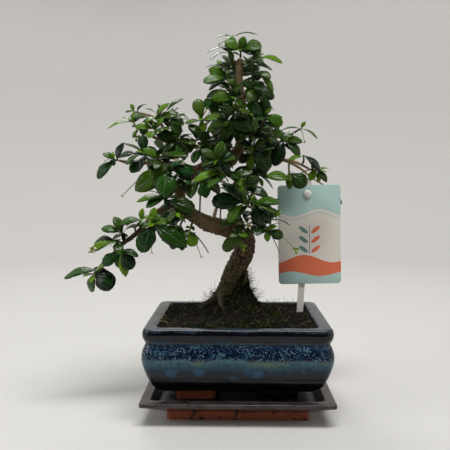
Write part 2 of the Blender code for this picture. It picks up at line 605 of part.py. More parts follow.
def leaf_axes(direction, light, roll):
    """A leaf's three directions: along it, across it, and out of its upper face."""
    ahead = direction.normalized()
    face = light - ahead * light.dot(ahead)
    if face.length < 0.05:
        face = ahead.orthogonal()
    face = Matrix.Rotation(roll, 3, ahead) @ face.normalized()
    return ahead, ahead.cross(face), face


def leaf_blade(base, axes, length, width, start=0.0, extra=0.0):
    """A closed obovate blade: pointed root, widest past its middle, blunt tip, folded and arched.

    With a start above 0 it is cut short at its root, and extra makes it thicker and wider."""
    ahead, across, face = axes
    half_width = length * width / 2
    half_thick = LEAF_THICKNESS / 2 + extra

    def spot(s, w, side):
        arch = LEAF_ARCH * length * math.sin(math.pi * s) - LEAF_DROOP * length * s * s
        fold = LEAF_FOLD * abs(w) * half_width
        place = base + ahead * (length * s) + across * (w * (half_width + extra))
        return place + face * (arch + fold + side * half_thick)

    side_rows = [row for row in LEAF_OUTLINE if row[0] > start]
    if start > 0:
        side_rows.insert(0, (start, LEAF_OUTLINE[0][1]))
    around = side_rows + [(1.0, 0.0)] + [(s, -w) for s, w in reversed(side_rows)]
    rows = around + [(LEAF_MIDDLE, 0.0)] + ([(0.0, 0.0)] if start == 0 else [])
    points = [spot(s, w, side) for side in (1, -1) for s, w in rows]
    count, middle, root, under = len(around), len(around), len(around) + 1, len(rows)
    faces = []
    for k in range(count):
        after = (k + 1) % count
        faces.append((after, k, middle))
        faces.append((under + k, under + after, under + middle))
    edge = list(range(count))
    if start == 0:
        faces.append((0, root, count - 1))
        faces.append((under, under + count - 1, under + root))
        edge.append(root)
    for k, after in zip(edge, edge[1:] + edge[:1]):
        faces.append((k, after, under + after, under + k))
    return points, faces


class Space:
    """Shapes already placed, with their owners, against which each new leaf is tried."""

    def __init__(self):
        self.taken = []
        self.views = []

    def take(self, owner, shape, own_shape=None):
        points, faces = shape
        middle = sum(points, Vector()) / len(points)
        reach = max((point - middle).length for point in points)
        own = own_shape and BVHTree.FromPolygons(*own_shape)
        self.taken.append((owner, middle, reach, BVHTree.FromPolygons(points, faces), own))

    def keep_clear(self, blade):
        """Keeps the leaves of the spiral rule from coming between this blade and the eye."""
        points, faces = blade
        half = len(points) // 2
        heart = sum(points, Vector()) / len(points)
        core = [heart.lerp(point, CLEAR_CORE) for point in points[:half]]
        near = [point.lerp(Vector(EYE), CLEAR_SHARE) for point in core]
        walls = [(a, b, half + b, half + a) for face in faces if max(face) < half
                 for a, b in zip(face, face[1:] + face[:1])]
        middle = heart.lerp(Vector(EYE), CLEAR_SHARE / 2)
        reach = max((point - middle).length for point in core + near)
        self.views.append((middle, reach, BVHTree.FromPolygons(core + near, walls)))

    def is_free(self, owner, shape, own_shape, aimed):
        points, faces = shape
        middle = sum(points, Vector()) / len(points)
        reach = max((point - middle).length for point in points)
        whole = BVHTree.FromPolygons(points, faces)
        outer = BVHTree.FromPolygons(*own_shape)
        for other, centre, size, tree, own in self.taken:
            if (centre - middle).length > reach + size:
                continue
            if other != owner and whole.overlap(tree):
                return False
            if other == owner and own and outer.overlap(own):
                return False
        return aimed or not any((centre - middle).length < reach + size and whole.overlap(tree)
                                for centre, size, tree in self.views)


def shoot_path(row):
    """A shoot's stem: it leaves the wood square to its surface, then bends to its tip."""
    limb, place, reach = row[0], row[1], Vector(row[2])
    point, ahead = along(limb_path(limb), place)
    root = point.to_3d()
    out = ahead if place == 1.0 else (reach - ahead * reach.dot(ahead)).normalized()
    start = root + out * (GAP if place == 1.0 else point.w + GAP)
    tip = root + reach + out * (0 if place == 1.0 else point.w)
    bend = start + out * (tip - start).length * SHOOT_BEND
    first, last = SHOOT_RADIUS
    path = []
    for step in range(4):
        u = step / 3
        spot = start * (1 - u) ** 2 + bend * 2 * u * (1 - u) + tip * u * u
        path.append(Vector((*spot, min(first, point.w) * (1 - u) + last * u)))
    return path


def grow_leaf(owner, space, base, reach, light, width, draw, aimed=False):
    """The first try of a leaf that touches nothing else, turned a little more each time, or nothing."""
    most_roll = AIMED_ROLL_DRAW if aimed else ROLL_DRAW
    for attempt in range(LEAF_TRIES):
        slack = TURN_PER_TRY * attempt
        turn = Vector([draw.uniform(-slack, slack) for _ in range(3)])
        roll = draw.uniform(-most_roll, most_roll) * (1 + slack)
        axes = leaf_axes(reach.normalized() + turn, light, roll)
        length = reach.length * (1 - SHRINK_PER_TRY * attempt)
        root = base - axes[0] * LEAF_ROOT_DEPTH
        guard = leaf_blade(root, axes, length, width, 0.0, LEAF_SPACE)
        outer = leaf_blade(root, axes, length, width, OWN_LEAF_START, OWN_LEAF_SPACE)
        if space.is_free(owner, guard, outer, aimed):
            space.take(owner, guard, outer)
            blade = leaf_blade(root, axes, length, width)
            if aimed:
                space.keep_clear(blade)
            return blade
    return None


def aimed_leaves(row, owner, space):
    """The leaves of one shoot that are aimed by hand."""
    draw = random.Random(owner + " aimed")
    path = shoot_path(row)
    blades = []
    for place, reach, tilt, width in row[5]:
        base = along(path, min(place, LAST_LEAF_PLACE))[0].to_3d()
        light = Vector((0, -math.cos(math.radians(tilt)), math.sin(math.radians(tilt))))
        blades.append(grow_leaf(owner, space, base, Vector(reach), light, width, draw, aimed=True))
    return blades


def spiral_leaves(row, owner, space):
    """The leaves of one shoot that the spiral rule places."""
    count, size = row[3:5]
    draw = random.Random(owner)
    path = shoot_path(row)
    blades = []
    for index in range(count):
        place = LAST_LEAF_PLACE - LEAFY_SHARE * (count - 1 - index) / count
        point, ahead = along(path, place)
        angle = GOLDEN_ANGLE * index + draw.uniform(-ANGLE_DRAW, ANGLE_DRAW)
        side = Matrix.Rotation(angle, 3, ahead) @ ahead.orthogonal().normalized()
        spread = LEAF_SPREAD[0] - LEAF_SPREAD[1] * place
        direction = ahead * math.cos(spread) + side * math.sin(spread) - Vector((0, 0, LEAF_SAG))
        light = Vector(LIGHT_ON_FRONT if point.y < BACK_STARTS_AT_Y else LIGHT_ON_BACK)
        reach = direction.normalized() * size * draw.uniform(*LEAF_SIZE_DRAW)
        blades.append(grow_leaf(owner, space, point.to_3d(), reach, light, LEAF_WIDTH, draw))
    return blades


def make_shoots(space):
    """Every leafy shoot, fused to one piece. Stems take their space first, then the aimed leaves of all
    shoots, and then those of the spiral rule."""
    old_leaf = finish("leaf", "23491B", 0.35)
    young_leaf = finish("young leaf", "4F8A2A", 0.4)
    names = []
    for index, row in enumerate(SHOOTS):
        number = 1 + sum(other[0] == row[0] for other in SHOOTS[:index])
        names.append(f"shoot_{row[0]}_{number}")
    for name, row in zip(names, SHOOTS):
        space.take(name, tube(shoot_path(row), SHOOT_SIDES, STEM_SPACE))
    shapes = {name: aimed_leaves(row, name, space) for name, row in zip(names, SHOOTS)}
    for name, row in zip(names, SHOOTS):
        shapes[name] += spiral_leaves(row, name, space)
        blades = [add_piece("blade", shape) for shape in shapes[name] if shape]
        green = young_leaf if row[4] <= YOUNG_LEAF_LENGTH else old_leaf
        stem = add_piece(name, tube(shoot_path(row), SHOOT_SIDES), green)
        combine(stem, blades, "UNION")


def main():
    clear_scene()
    make_tray()
    make_pot()
    make_drain_meshes()
    soil = make_soil()
    stick, card = make_label()
    make_wood()
    space = Space()
    for thing in (soil, stick, card):
        points = [v.co / MM for v in thing.data.vertices]
        space.take(thing.name, (points, [tuple(face.vertices) for face in thing.data.polygons]))
    space.take("wood", tube(trunk_path(), TRUNK_SIDES, WOOD_SPACE))
    for name in LIMBS:
        space.take("wood", tube(limb_path(name), LIMB_SIDES, WOOD_SPACE))
    make_shoots(space)


main()
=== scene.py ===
"""The looks of a fukien tea bonsai in its glazed pot, piece by piece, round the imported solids."""

import functools
import json
import math
import random

import bmesh
import bpy
from mathutils import Matrix, Vector, noise
from mathutils.bvhtree import BVHTree
from mathutils.kdtree import KDTree

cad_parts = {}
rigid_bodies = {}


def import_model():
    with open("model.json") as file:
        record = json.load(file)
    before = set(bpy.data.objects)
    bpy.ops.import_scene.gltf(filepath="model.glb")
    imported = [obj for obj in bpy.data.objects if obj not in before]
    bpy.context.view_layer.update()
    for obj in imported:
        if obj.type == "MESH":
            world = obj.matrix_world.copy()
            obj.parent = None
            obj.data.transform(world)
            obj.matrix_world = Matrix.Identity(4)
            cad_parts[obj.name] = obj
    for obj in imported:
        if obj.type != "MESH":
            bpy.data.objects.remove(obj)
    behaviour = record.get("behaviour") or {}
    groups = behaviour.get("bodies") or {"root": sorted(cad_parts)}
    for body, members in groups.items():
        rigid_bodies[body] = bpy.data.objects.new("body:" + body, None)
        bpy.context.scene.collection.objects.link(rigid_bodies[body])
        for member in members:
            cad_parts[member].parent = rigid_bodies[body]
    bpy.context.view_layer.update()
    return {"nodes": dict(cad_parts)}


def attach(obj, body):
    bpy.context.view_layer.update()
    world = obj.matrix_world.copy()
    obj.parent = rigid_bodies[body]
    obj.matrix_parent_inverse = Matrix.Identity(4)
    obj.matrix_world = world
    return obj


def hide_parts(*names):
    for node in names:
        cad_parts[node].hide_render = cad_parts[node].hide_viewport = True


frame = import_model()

# The view and the room. The camera looks slightly down at the plant, which stands on a pale matt sheet that
# curves up all round. A long soft light hangs overhead, and weaker ones fill the left side and the back. A
# black cloth lies in front, out of the picture, so that gloss stays deep.
MM = 0.001
CAMERA_PLACE = (-0.93, -466.2, 181.7)
CAMERA_YAW = 0.0208
CAMERA_PITCH = 0.0664
CAMERA_LENS = 44.56
SHEET_RADIUS = 1500.0
SHEET_BEND = 500.0
SHEET_HEIGHT = 1400.0
SHEET_SIDES = 72
SHEET_BEND_STEPS = 12
SHEET_PAPER = "C9C7C3"
CLOTH_BLACK = "0A0A0A"
CLOTH_CORNERS = ((-1100, -320, 4), (1100, -320, 4), (1100, -1000, 4), (-1100, -1000, 4), (1100, -1000, 900),
                 (-1100, -1000, 900))
WHITE = "FFFFFF"
FILL_WHITE = "F4F7FF"
ROOM_AIR_STRENGTH = 0.14
LIGHTS = (
    ("long light overhead", (230, -620, 1900), (0, 0, 130), (1500, 420), 35, WHITE),
    ("left fill light", (-1100, -500, 700), (0, 0, 120), (700, 700), 4, FILL_WHITE),
    ("back light", (-300, 900, 1300), (0, 0, 200), (600, 600), 6.5, WHITE),
)


def linear(hex_colour):
    """Linear RGBA from an sRGB hex value."""
    channels = [int(hex_colour[i:i + 2], 16) / 255 for i in (0, 2, 4)]
    return [c / 12.92 if c <= 0.04045 else ((c + 0.055) / 1.055) ** 2.4 for c in channels] + [1.0]


def add_node(tree, kind, links=None, output=0, stops=(), **settings):
    """One node with its settings, and the output of it that is wanted, or the node where that is None.
    Its kind is Blender's name without ShaderNode, GeometryNode, FunctionNode or Node in front. links fills
    inputs, each with a value or another node's output, and stops are a colour ramp's places and colours."""
    names = [family + kind for family in ("ShaderNode", "GeometryNode", "FunctionNode", "Node")]
    node = tree.nodes.new(next(name for name in names if hasattr(bpy.types, name)))
    for name, value in settings.items():
        setattr(node, name, value)
    for place, value in (links or {}).items():
        if isinstance(value, bpy.types.NodeSocket):
            tree.links.new(value, node.inputs[place])
        else:
            node.inputs[place].default_value = value
    for index, (place, hex_colour) in enumerate(stops):
        elements = node.color_ramp.elements
        if index == 0:
            elements.remove(elements[1])
        element = elements[0] if index == 0 else elements.new(place)
        element.position = place
        element.color = linear(hex_colour)
    return node if output is None else node.outputs[output]


def new_material(name):
    """A material, the function that adds nodes to it, and the place on its piece in millimetres."""
    material = bpy.data.materials.new(name)
    material.use_nodes = True
    node = functools.partial(add_node, material.node_tree)
    place = node("VectorMath", {0: node("TexCoord", output="Object"), "Scale": 1 / MM}, operation="SCALE")
    return material, node, place


def finish(material, **looks):
    """Sets the shader's own sockets, each to a value, a hex colour or another node's output."""
    shader = material.node_tree.nodes["Principled BSDF"]
    for name, value in looks.items():
        socket = shader.inputs[name.replace("_", " ")]
        if isinstance(value, bpy.types.NodeSocket):
            material.node_tree.links.new(value, socket)
        else:
            socket.default_value = linear(value) if isinstance(value, str) else value
    return material


def circle(sides):
    """Cosine and sine for each side of a round."""
    return [(math.cos(2 * math.pi * k / sides), math.sin(2 * math.pi * k / sides)) for k in range(sides)]


def bands(levels, count):
    """The faces between one ring of points and the next."""
    faces = []
    for level in range(levels - 1):
        for k in range(count):
            a, b = level * count + k, level * count + (k + 1) % count
            faces.append((a, b, b + count, a + count))
    return faces


def new_piece(name, points, faces, materials=()):
    """A smooth mesh object from points in millimetres."""
    mesh = bpy.data.meshes.new(name)
    mesh.from_pydata([tuple(Vector(p) * MM) for p in points], [], faces)
    mesh.update()
    mesh.shade_smooth()
    piece = bpy.data.objects.new(name, mesh)
    bpy.context.scene.collection.objects.link(piece)
    for material in materials:
        mesh.materials.append(material)
    return piece


def make_camera():
    yaw, pitch = CAMERA_YAW, CAMERA_PITCH
    ahead = Vector((-math.sin(yaw) * math.cos(pitch), math.cos(yaw) * math.cos(pitch), -math.sin(pitch)))
    right = Vector((math.cos(yaw), math.sin(yaw), 0))
    turn = Matrix((right, right.cross(ahead), -ahead)).transposed().to_4x4()
    data = bpy.data.cameras.new("camera")
    data.lens = CAMERA_LENS
    data.clip_start = 0.01
    camera = bpy.data.objects.new("camera", data)
    camera.matrix_world = Matrix.Translation(Vector(CAMERA_PLACE) * MM) @ turn
    bpy.context.scene.collection.objects.link(camera)
    bpy.context.scene.camera = camera


def add_light(name, place, aim, size, watts, hex_colour):
    """A soft light of a length and breadth at a place, aimed at a point, all in millimetres."""
    data = bpy.data.lights.new(name, "AREA")
    data.shape = "RECTANGLE"
    data.size, data.size_y = size[0] * MM, size[1] * MM
    data.energy = watts
    data.color = linear(hex_colour)[:3]
    light = bpy.data.objects.new(name, data)
    light.location = Vector(place) * MM
    light.rotation_euler = (Vector(aim) - Vector(place)).to_track_quat("-Z", "Y").to_euler()
    light.visible_camera = False
    bpy.context.scene.collection.objects.link(light)


def make_room():
    profile = [(0.02, 0.0), (SHEET_RADIUS - SHEET_BEND, 0.0)]
    for step in range(1, SHEET_BEND_STEPS + 1):
        angle = math.pi / 2 * step / SHEET_BEND_STEPS
        out = SHEET_RADIUS - SHEET_BEND * (1 - math.sin(angle))
        profile.append((out, SHEET_BEND * (1 - math.cos(angle))))
    profile.append((SHEET_RADIUS, SHEET_HEIGHT))
    points = [(radius * x, radius * y, height) for radius, height in profile for x, y in circle(SHEET_SIDES)]
    # Matt paper: pale and warm, with no gloss, so it shows only soft shadows.
    paper = finish(new_material("matt paper")[0], Base_Color=SHEET_PAPER, Roughness=0.9, IOR=1.45)
    new_piece("paper_sheet", points, bands(len(profile), SHEET_SIDES), [paper])
    # Black cloth: it throws nothing back, so the glazes show deep blacks in front.
    cloth = finish(new_material("black cloth")[0], Base_Color=CLOTH_BLACK, Roughness=1.0, IOR=1.45)
    front = new_piece("black_cloth", CLOTH_CORNERS, [(0, 3, 2, 1), (2, 3, 5, 4)], [cloth])
    front.visible_camera = False
    front.visible_shadow = False
    world = bpy.data.worlds.new("room air")
    world.use_nodes = True
    air = world.node_tree.nodes["Background"].inputs
    air["Color"].default_value = linear(WHITE)
    air["Strength"].default_value = ROOM_AIR_STRENGTH
    bpy.context.scene.world = world
    bpy.context.scene.view_settings.view_transform = "Standard"
    for light in LIGHTS:
        add_light(*light)


make_camera()
make_room()

# The drip tray. A shallow stoneware dish that was pressed in a mould: its sides flare up from a bare
# foot to a flat mitred rim round a sunk well. It is dipped in a dark brown glaze that the kiln left
# glossy, and the glaze stops short of the foot, where the red clay shows with a few stray spots.
TRAY_FOOT = (56.0, 40.0, 3.0)
TRAY_EDGE = (75.0, 58.0, 2.5)
TRAY_RIM_BREADTH = 8.0
TRAY_WELL_SLOPE = 5.0
TRAY_HEIGHTS = (0.0, 6.0, 7.0, 16.0, 19.0, 14.7)
TRAY_GLAZE_STOPS_AT = 6.6
TRAY_UNEVEN = (0.16, 22)
CLAY_SEED = 7
BROWN_GLAZE = "17110F"
BROWN_GLAZE_PAINTED_SHEEN = "3A3233"
THIN_GLAZE_AND_HIGHLIGHT = "5B3A2A"
RED_CLAY = "B0603C"
RED_CLAY_DARK = "7C3F28"
CLAY_GROG = 2.5
GLAZE_CLOUD = 9
GLAZE_DROP = 6
GLAZE_RAGGED = (14, 7.0)
GLAZE_PEEL = 1.9


def outline(half_length, half_depth, radius, height, per_side=40, per_end=30, per_corner=8):
    """Points round a rounded rectangle at one height, as many at every size, so that rings can be joined."""
    ring = []
    sides = (per_end, per_side, per_end, per_side)
    for corner, (sx, sy) in enumerate(((1, 1), (-1, 1), (-1, -1), (1, -1))):
        for step in range(per_corner):
            angle = math.pi / 2 * (corner + step / per_corner)
            x = sx * (half_length - radius) + radius * math.cos(angle)
            y = sy * (half_depth - radius) + radius * math.sin(angle)
            ring.append(Vector((x, y, height)))
        angle = math.pi / 2 * (corner + 1)
        start = Vector((sx * (half_length - radius) + radius * math.cos(angle),
                        sy * (half_depth - radius) + radius * math.sin(angle), height))
        along = Vector((-sx if corner % 2 == 0 else 0, 0 if corner % 2 == 0 else -sy, 0))
        span = 2 * ((half_length if corner % 2 == 0 else half_depth) - radius)
        count = sides[(corner + 1) % 4]
        for step in range(count):
            ring.append(start + along * (span * step / count))
    return ring


def softened(profile, steps=4):
    """A profile with its corners rounded. Each of its points is half length, half depth, corner radius
    and height, with how far from the corner its rounding starts."""
    result = []
    for index, (spot, rounding) in enumerate(profile):
        here = Vector(spot)
        if rounding == 0 or index in (0, len(profile) - 1):
            result.append(here)
            continue
        before, after = Vector(profile[index - 1][0]), Vector(profile[index + 1][0])
        start = here.lerp(before, min(0.49, rounding / (before - here).length))
        end = here.lerp(after, min(0.49, rounding / (after - here).length))
        for step in range(steps + 1):
            u = step / steps
            result.append(start * (1 - u) ** 2 + here * 2 * u * (1 - u) + end * u * u)
    return result


def lofted(rings):
    """Points and faces through rings of equal count, closed at both ends."""
    count = len(rings[0])
    points = [point for ring in rings for point in ring]
    ends = [tuple(reversed(range(count))), tuple(range(len(points) - count, len(points)))]
    return points, bands(len(rings), count) + ends


def joined(shapes):
    """Points and faces of several shapes as one."""
    points, faces = [], []
    for more, around in shapes:
        faces += [tuple(k + len(points) for k in face) for face in around]
        points += more
    return points, faces


def uneven(points, height, length):
    """The points moved a little, smoothly, as hand-finished clay is uneven. Its seed keeps runs alike."""
    noise.seed_set(CLAY_SEED)
    return [p + noise.noise_vector(p / length) * height for p in points]


def show_piece(piece, slot, *nodes):
    """A finished piece: it rides on the part and stands for its solids. Its slot is not used."""
    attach(piece, "root")
    if nodes:
        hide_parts(*nodes)


def red_clay(node, place):
    """The tone of bare fired clay, which is speckled with coarse grog."""
    grog = node("TexNoise", {"Vector": place, "Scale": 1 / CLAY_GROG, "Detail": 8, "Roughness": 0.7})
    return node("ValToRGB", {0: grog}, stops=((0.3, RED_CLAY_DARK), (0.7, RED_CLAY)))


def make_tray():
    low, foot_top, wall_low, rim_low, rim_top, floor = TRAY_HEIGHTS
    length, depth, corner = TRAY_EDGE
    breadth, slope = TRAY_RIM_BREADTH, TRAY_WELL_SLOPE
    profile = [
        (TRAY_FOOT + (low,), 0),
        (TRAY_FOOT + (low + 0.8,), 0.6),
        (TRAY_FOOT + (foot_top,), 0.5),
        ((TRAY_FOOT[0] + 1.5, TRAY_FOOT[1] + 1.5, 4.0, wall_low), 0.6),
        ((length - 2.5, depth - 2.5, corner, rim_low - 1.0), 1.2),
        ((length, depth, corner, rim_low), 0.8),
        ((length, depth, corner, rim_top), 1.1),
        ((length - breadth, depth - breadth, 2.0, rim_top), 1.0),
        ((length - breadth - slope, depth - breadth - slope, 2.5, floor), 2.5),
        ((length - breadth - slope - 6, depth - breadth - slope - 6, 2.5, floor), 0),
    ]
    points, faces = lofted([outline(*spot) for spot in softened(profile)])
    # Brown glazed stoneware: black-brown and glossy like glass, a little wavy, with violet-grey clouds of its
    # own tone lightened into a painted sheen, browner where it is thin on an edge and lighter there as a
    # painted highlight, with rough brick-red clay bare at the foot.
    glaze, node, place = new_material("brown glazed stoneware")
    ragged = node("TexNoise", {"Vector": place, "Scale": 1 / GLAZE_RAGGED[0], "Detail": 5})
    glaze_edge = node("Math", {0: ragged, 1: GLAZE_RAGGED[1], 2: node("SeparateXYZ", {0: place}, "Z")},
                      operation="MULTIPLY_ADD")
    bare = node("MapRange", {0: glaze_edge, 1: TRAY_GLAZE_STOPS_AT + 3.3, 2: TRAY_GLAZE_STOPS_AT + 4.0,
                             3: 1.0, 4: 0.0})
    drops = node("TexNoise", {"Vector": place, "Scale": 1 / GLAZE_DROP, "Detail": 2, "Roughness": 0.4})
    spots = node("MapRange", {0: drops, 1: 0.64, 2: 0.66, 3: 1.0, 4: 0.0})
    bare_clay = node("Math", {0: bare, 1: spots}, operation="MULTIPLY")
    cloud = node("TexNoise", {"Vector": place, "Scale": 1 / GLAZE_CLOUD, "Detail": 6, "Roughness": 0.65})
    # The violet-grey clouds are partly the glaze's own tone and partly a painted sheen.
    tone = node("ValToRGB", {0: cloud}, stops=((0.35, BROWN_GLAZE), (0.62, BROWN_GLAZE_PAINTED_SHEEN)))
    # Edges are browner where the glaze is thin, and painted lighter there as a painted highlight.
    thin_edge_and_highlight = node("MapRange", {0: node("NewGeometry", output="Pointiness"), 1: 0.53, 2: 0.6, 3: 0.0, 4: 0.75})
    for share, colour in ((thin_edge_and_highlight, linear(THIN_GLAZE_AND_HIGHLIGHT)), (bare_clay, red_clay(node, place))):
        tone = node("Mix", {0: share, 6: tone, 7: colour}, 2, data_type="RGBA")
    gloss = node("MapRange", {0: bare_clay, 3: 0.16, 4: 0.8})
    peel = node("TexNoise", {"Vector": place, "Scale": 1 / GLAZE_PEEL, "Detail": 3})
    bump = node("Bump", {"Height": peel, "Strength": 0.3, "Distance": 0.0005})
    finish(glaze, IOR=1.52, Base_Color=tone, Roughness=gloss, Normal=bump)
    tray = new_piece("glazed_drip_tray", uneven(points, *TRAY_UNEVEN), faces, [glaze])
    tray.data.set_sharp_from_angle(angle=math.radians(40))
    show_piece(tray, "tray_glaze", "drip_tray")


make_tray()

# The pot. Red stoneware from a mould, with a rolled rim, a groove under it and a full belly, on four
# feet. A thick reactive glaze ran down it in the kiln: slate blue where it pooled on the belly, nearly
# black with pale blue crystals above, and brown where it is thin on an edge. One front foot is bare.
POT_HALF = (73.0, 55.0, 8.0)
POT_CURVE = (
    (23.0, 15.0), (26.5, 10.5), (31.0, 6.8), (37.0, 3.4), (44.0, 0.6), (51.0, -1.0), (57.0, -0.4),
    (61.0, 1.2), (63.2, 2.2), (65.2, 1.6), (67.5, 0.2), (71.0, -0.3), (73.8, 0.4),
)
POT_TOP = 75.0
POT_MOUTH = (62.0, 46.0, 6.0)
POT_INNER_CURVE = ((72.6, 0.8), (64.0, 1.0), (51.0, -2.4), (38.0, 1.2), (33.0, 4.6), (30.0, 8.0))
POT_FOOT = (15.0, 9.0, 3.0)
POT_FOOT_BASE = 15.0
POT_FOOT_CENTRE = (33.0, 27.0)
DRAIN_HOLE = (30.0, 7.0)
GLAZE_BY_HEIGHT = (
    (22, "030406"), (34, "040609"), (38, "050F1A"), (41.5, "0A1E2E"), (44.5, "16384A"), (48, "2C5664"),
    (51, "3C6169"), (52.4, "0E1B30"), (56, "091228"), (61, "0C1A32"), (63, "20364A"), (64.5, "263842"),
    (66.5, "191F27"), (69, "111118"), (73, "09090E"), (75.2, "2E3A44"),
)
CRYSTAL_BLUE = "8FB0BE"
STREAK_BLUE = "2F6280"
DRIP_BLUE = "2A5C80"
KILN_GREEN = "6A7434"
GLAZE_POOL = "060B14"
EDGE_BROWN = "4B2F2A"
GLAZE_WAVES = ((24, 8.0), (2.2, 3.2))
GLAZE_RUNS = ((1.6, 1.6, 14), 4.0)
GLAZE_WAVE_MEAN = 7.6
CRYSTAL_SIZE = 1.05
CRYSTAL_PATCH = 5
CRYSTAL_BELT = ((57.0, 60.5), (73.0, 69.0))
STREAK_SIZE = (11, 11, 6)
GREEN_BELT = ((54.0, 58.0), (60.5, 59.0))
DRIP_SPACING = 15
DRIP_BELT = ((43.5, 46.0), (55.0, 51.0))
BARE_FOOT_TOP = (15.2, 7.5)
BARE_FOOT_RAGGED = (7, 3.0)
POT_PEEL = 2.4
POT_UNEVEN = (0.3, 26)
DRILL_SIDES = 48
FOOT_RING_COUNTS = (10, 8, 5)


def inset(size, amount):
    """A rounded rectangle's half sizes, drawn in on every side."""
    return (size[0] - amount, size[1] - amount, max(size[2] - amount, 0.5))


def curve_through(points, steps):
    """A smooth curve through the points, with this many pieces between each two of them."""
    points = [Vector(point) for point in points]
    ends = [points[0] * 2 - points[1]] + points + [points[-1] * 2 - points[-2]]
    path = []
    for before, start, end, after in zip(ends, ends[1:], ends[2:], ends[3:]):
        for step in range(steps):
            u = step / steps
            bend = (2 * before - 5 * start + 4 * end - after) * u * u
            twist = (3 * start - before - 3 * end + after) * u ** 3
            path.append((2 * start + (end - before) * u + bend + twist) / 2)
    return path + [points[-1]]


def apply_modifiers(piece):
    """The piece's mesh as its modifiers leave it, kept as a plain mesh."""
    graph = bpy.context.evaluated_depsgraph_get()
    mesh = bpy.data.meshes.new_from_object(piece.evaluated_get(graph), preserve_all_data_layers=True,
                                           depsgraph=graph)
    piece.modifiers.clear()
    piece.data = mesh


def boolean(piece, tools, operation):
    """One Boolean of the piece with a collection of tools, which are then removed."""
    group = bpy.data.collections.new("tools")
    bpy.context.scene.collection.children.link(group)
    for tool in tools:
        bpy.context.scene.collection.objects.unlink(tool)
        group.objects.link(tool)
    modifier = piece.modifiers.new("combine", "BOOLEAN")
    modifier.operation = operation
    modifier.operand_type = "COLLECTION"
    modifier.collection = group
    modifier.solver = "EXACT"
    apply_modifiers(piece)
    for tool in tools:
        bpy.data.objects.remove(tool)
    bpy.data.collections.remove(group)


def within(node, share, level, belt):
    """A share kept to a belt of heights: it fades in over the belt's first pair and out over its second."""
    for start, full in belt:
        fade = node("MapRange", {0: level, 1: start, 2: full})
        share = node("Math", {0: share, 1: fade}, operation="MULTIPLY")
    return share


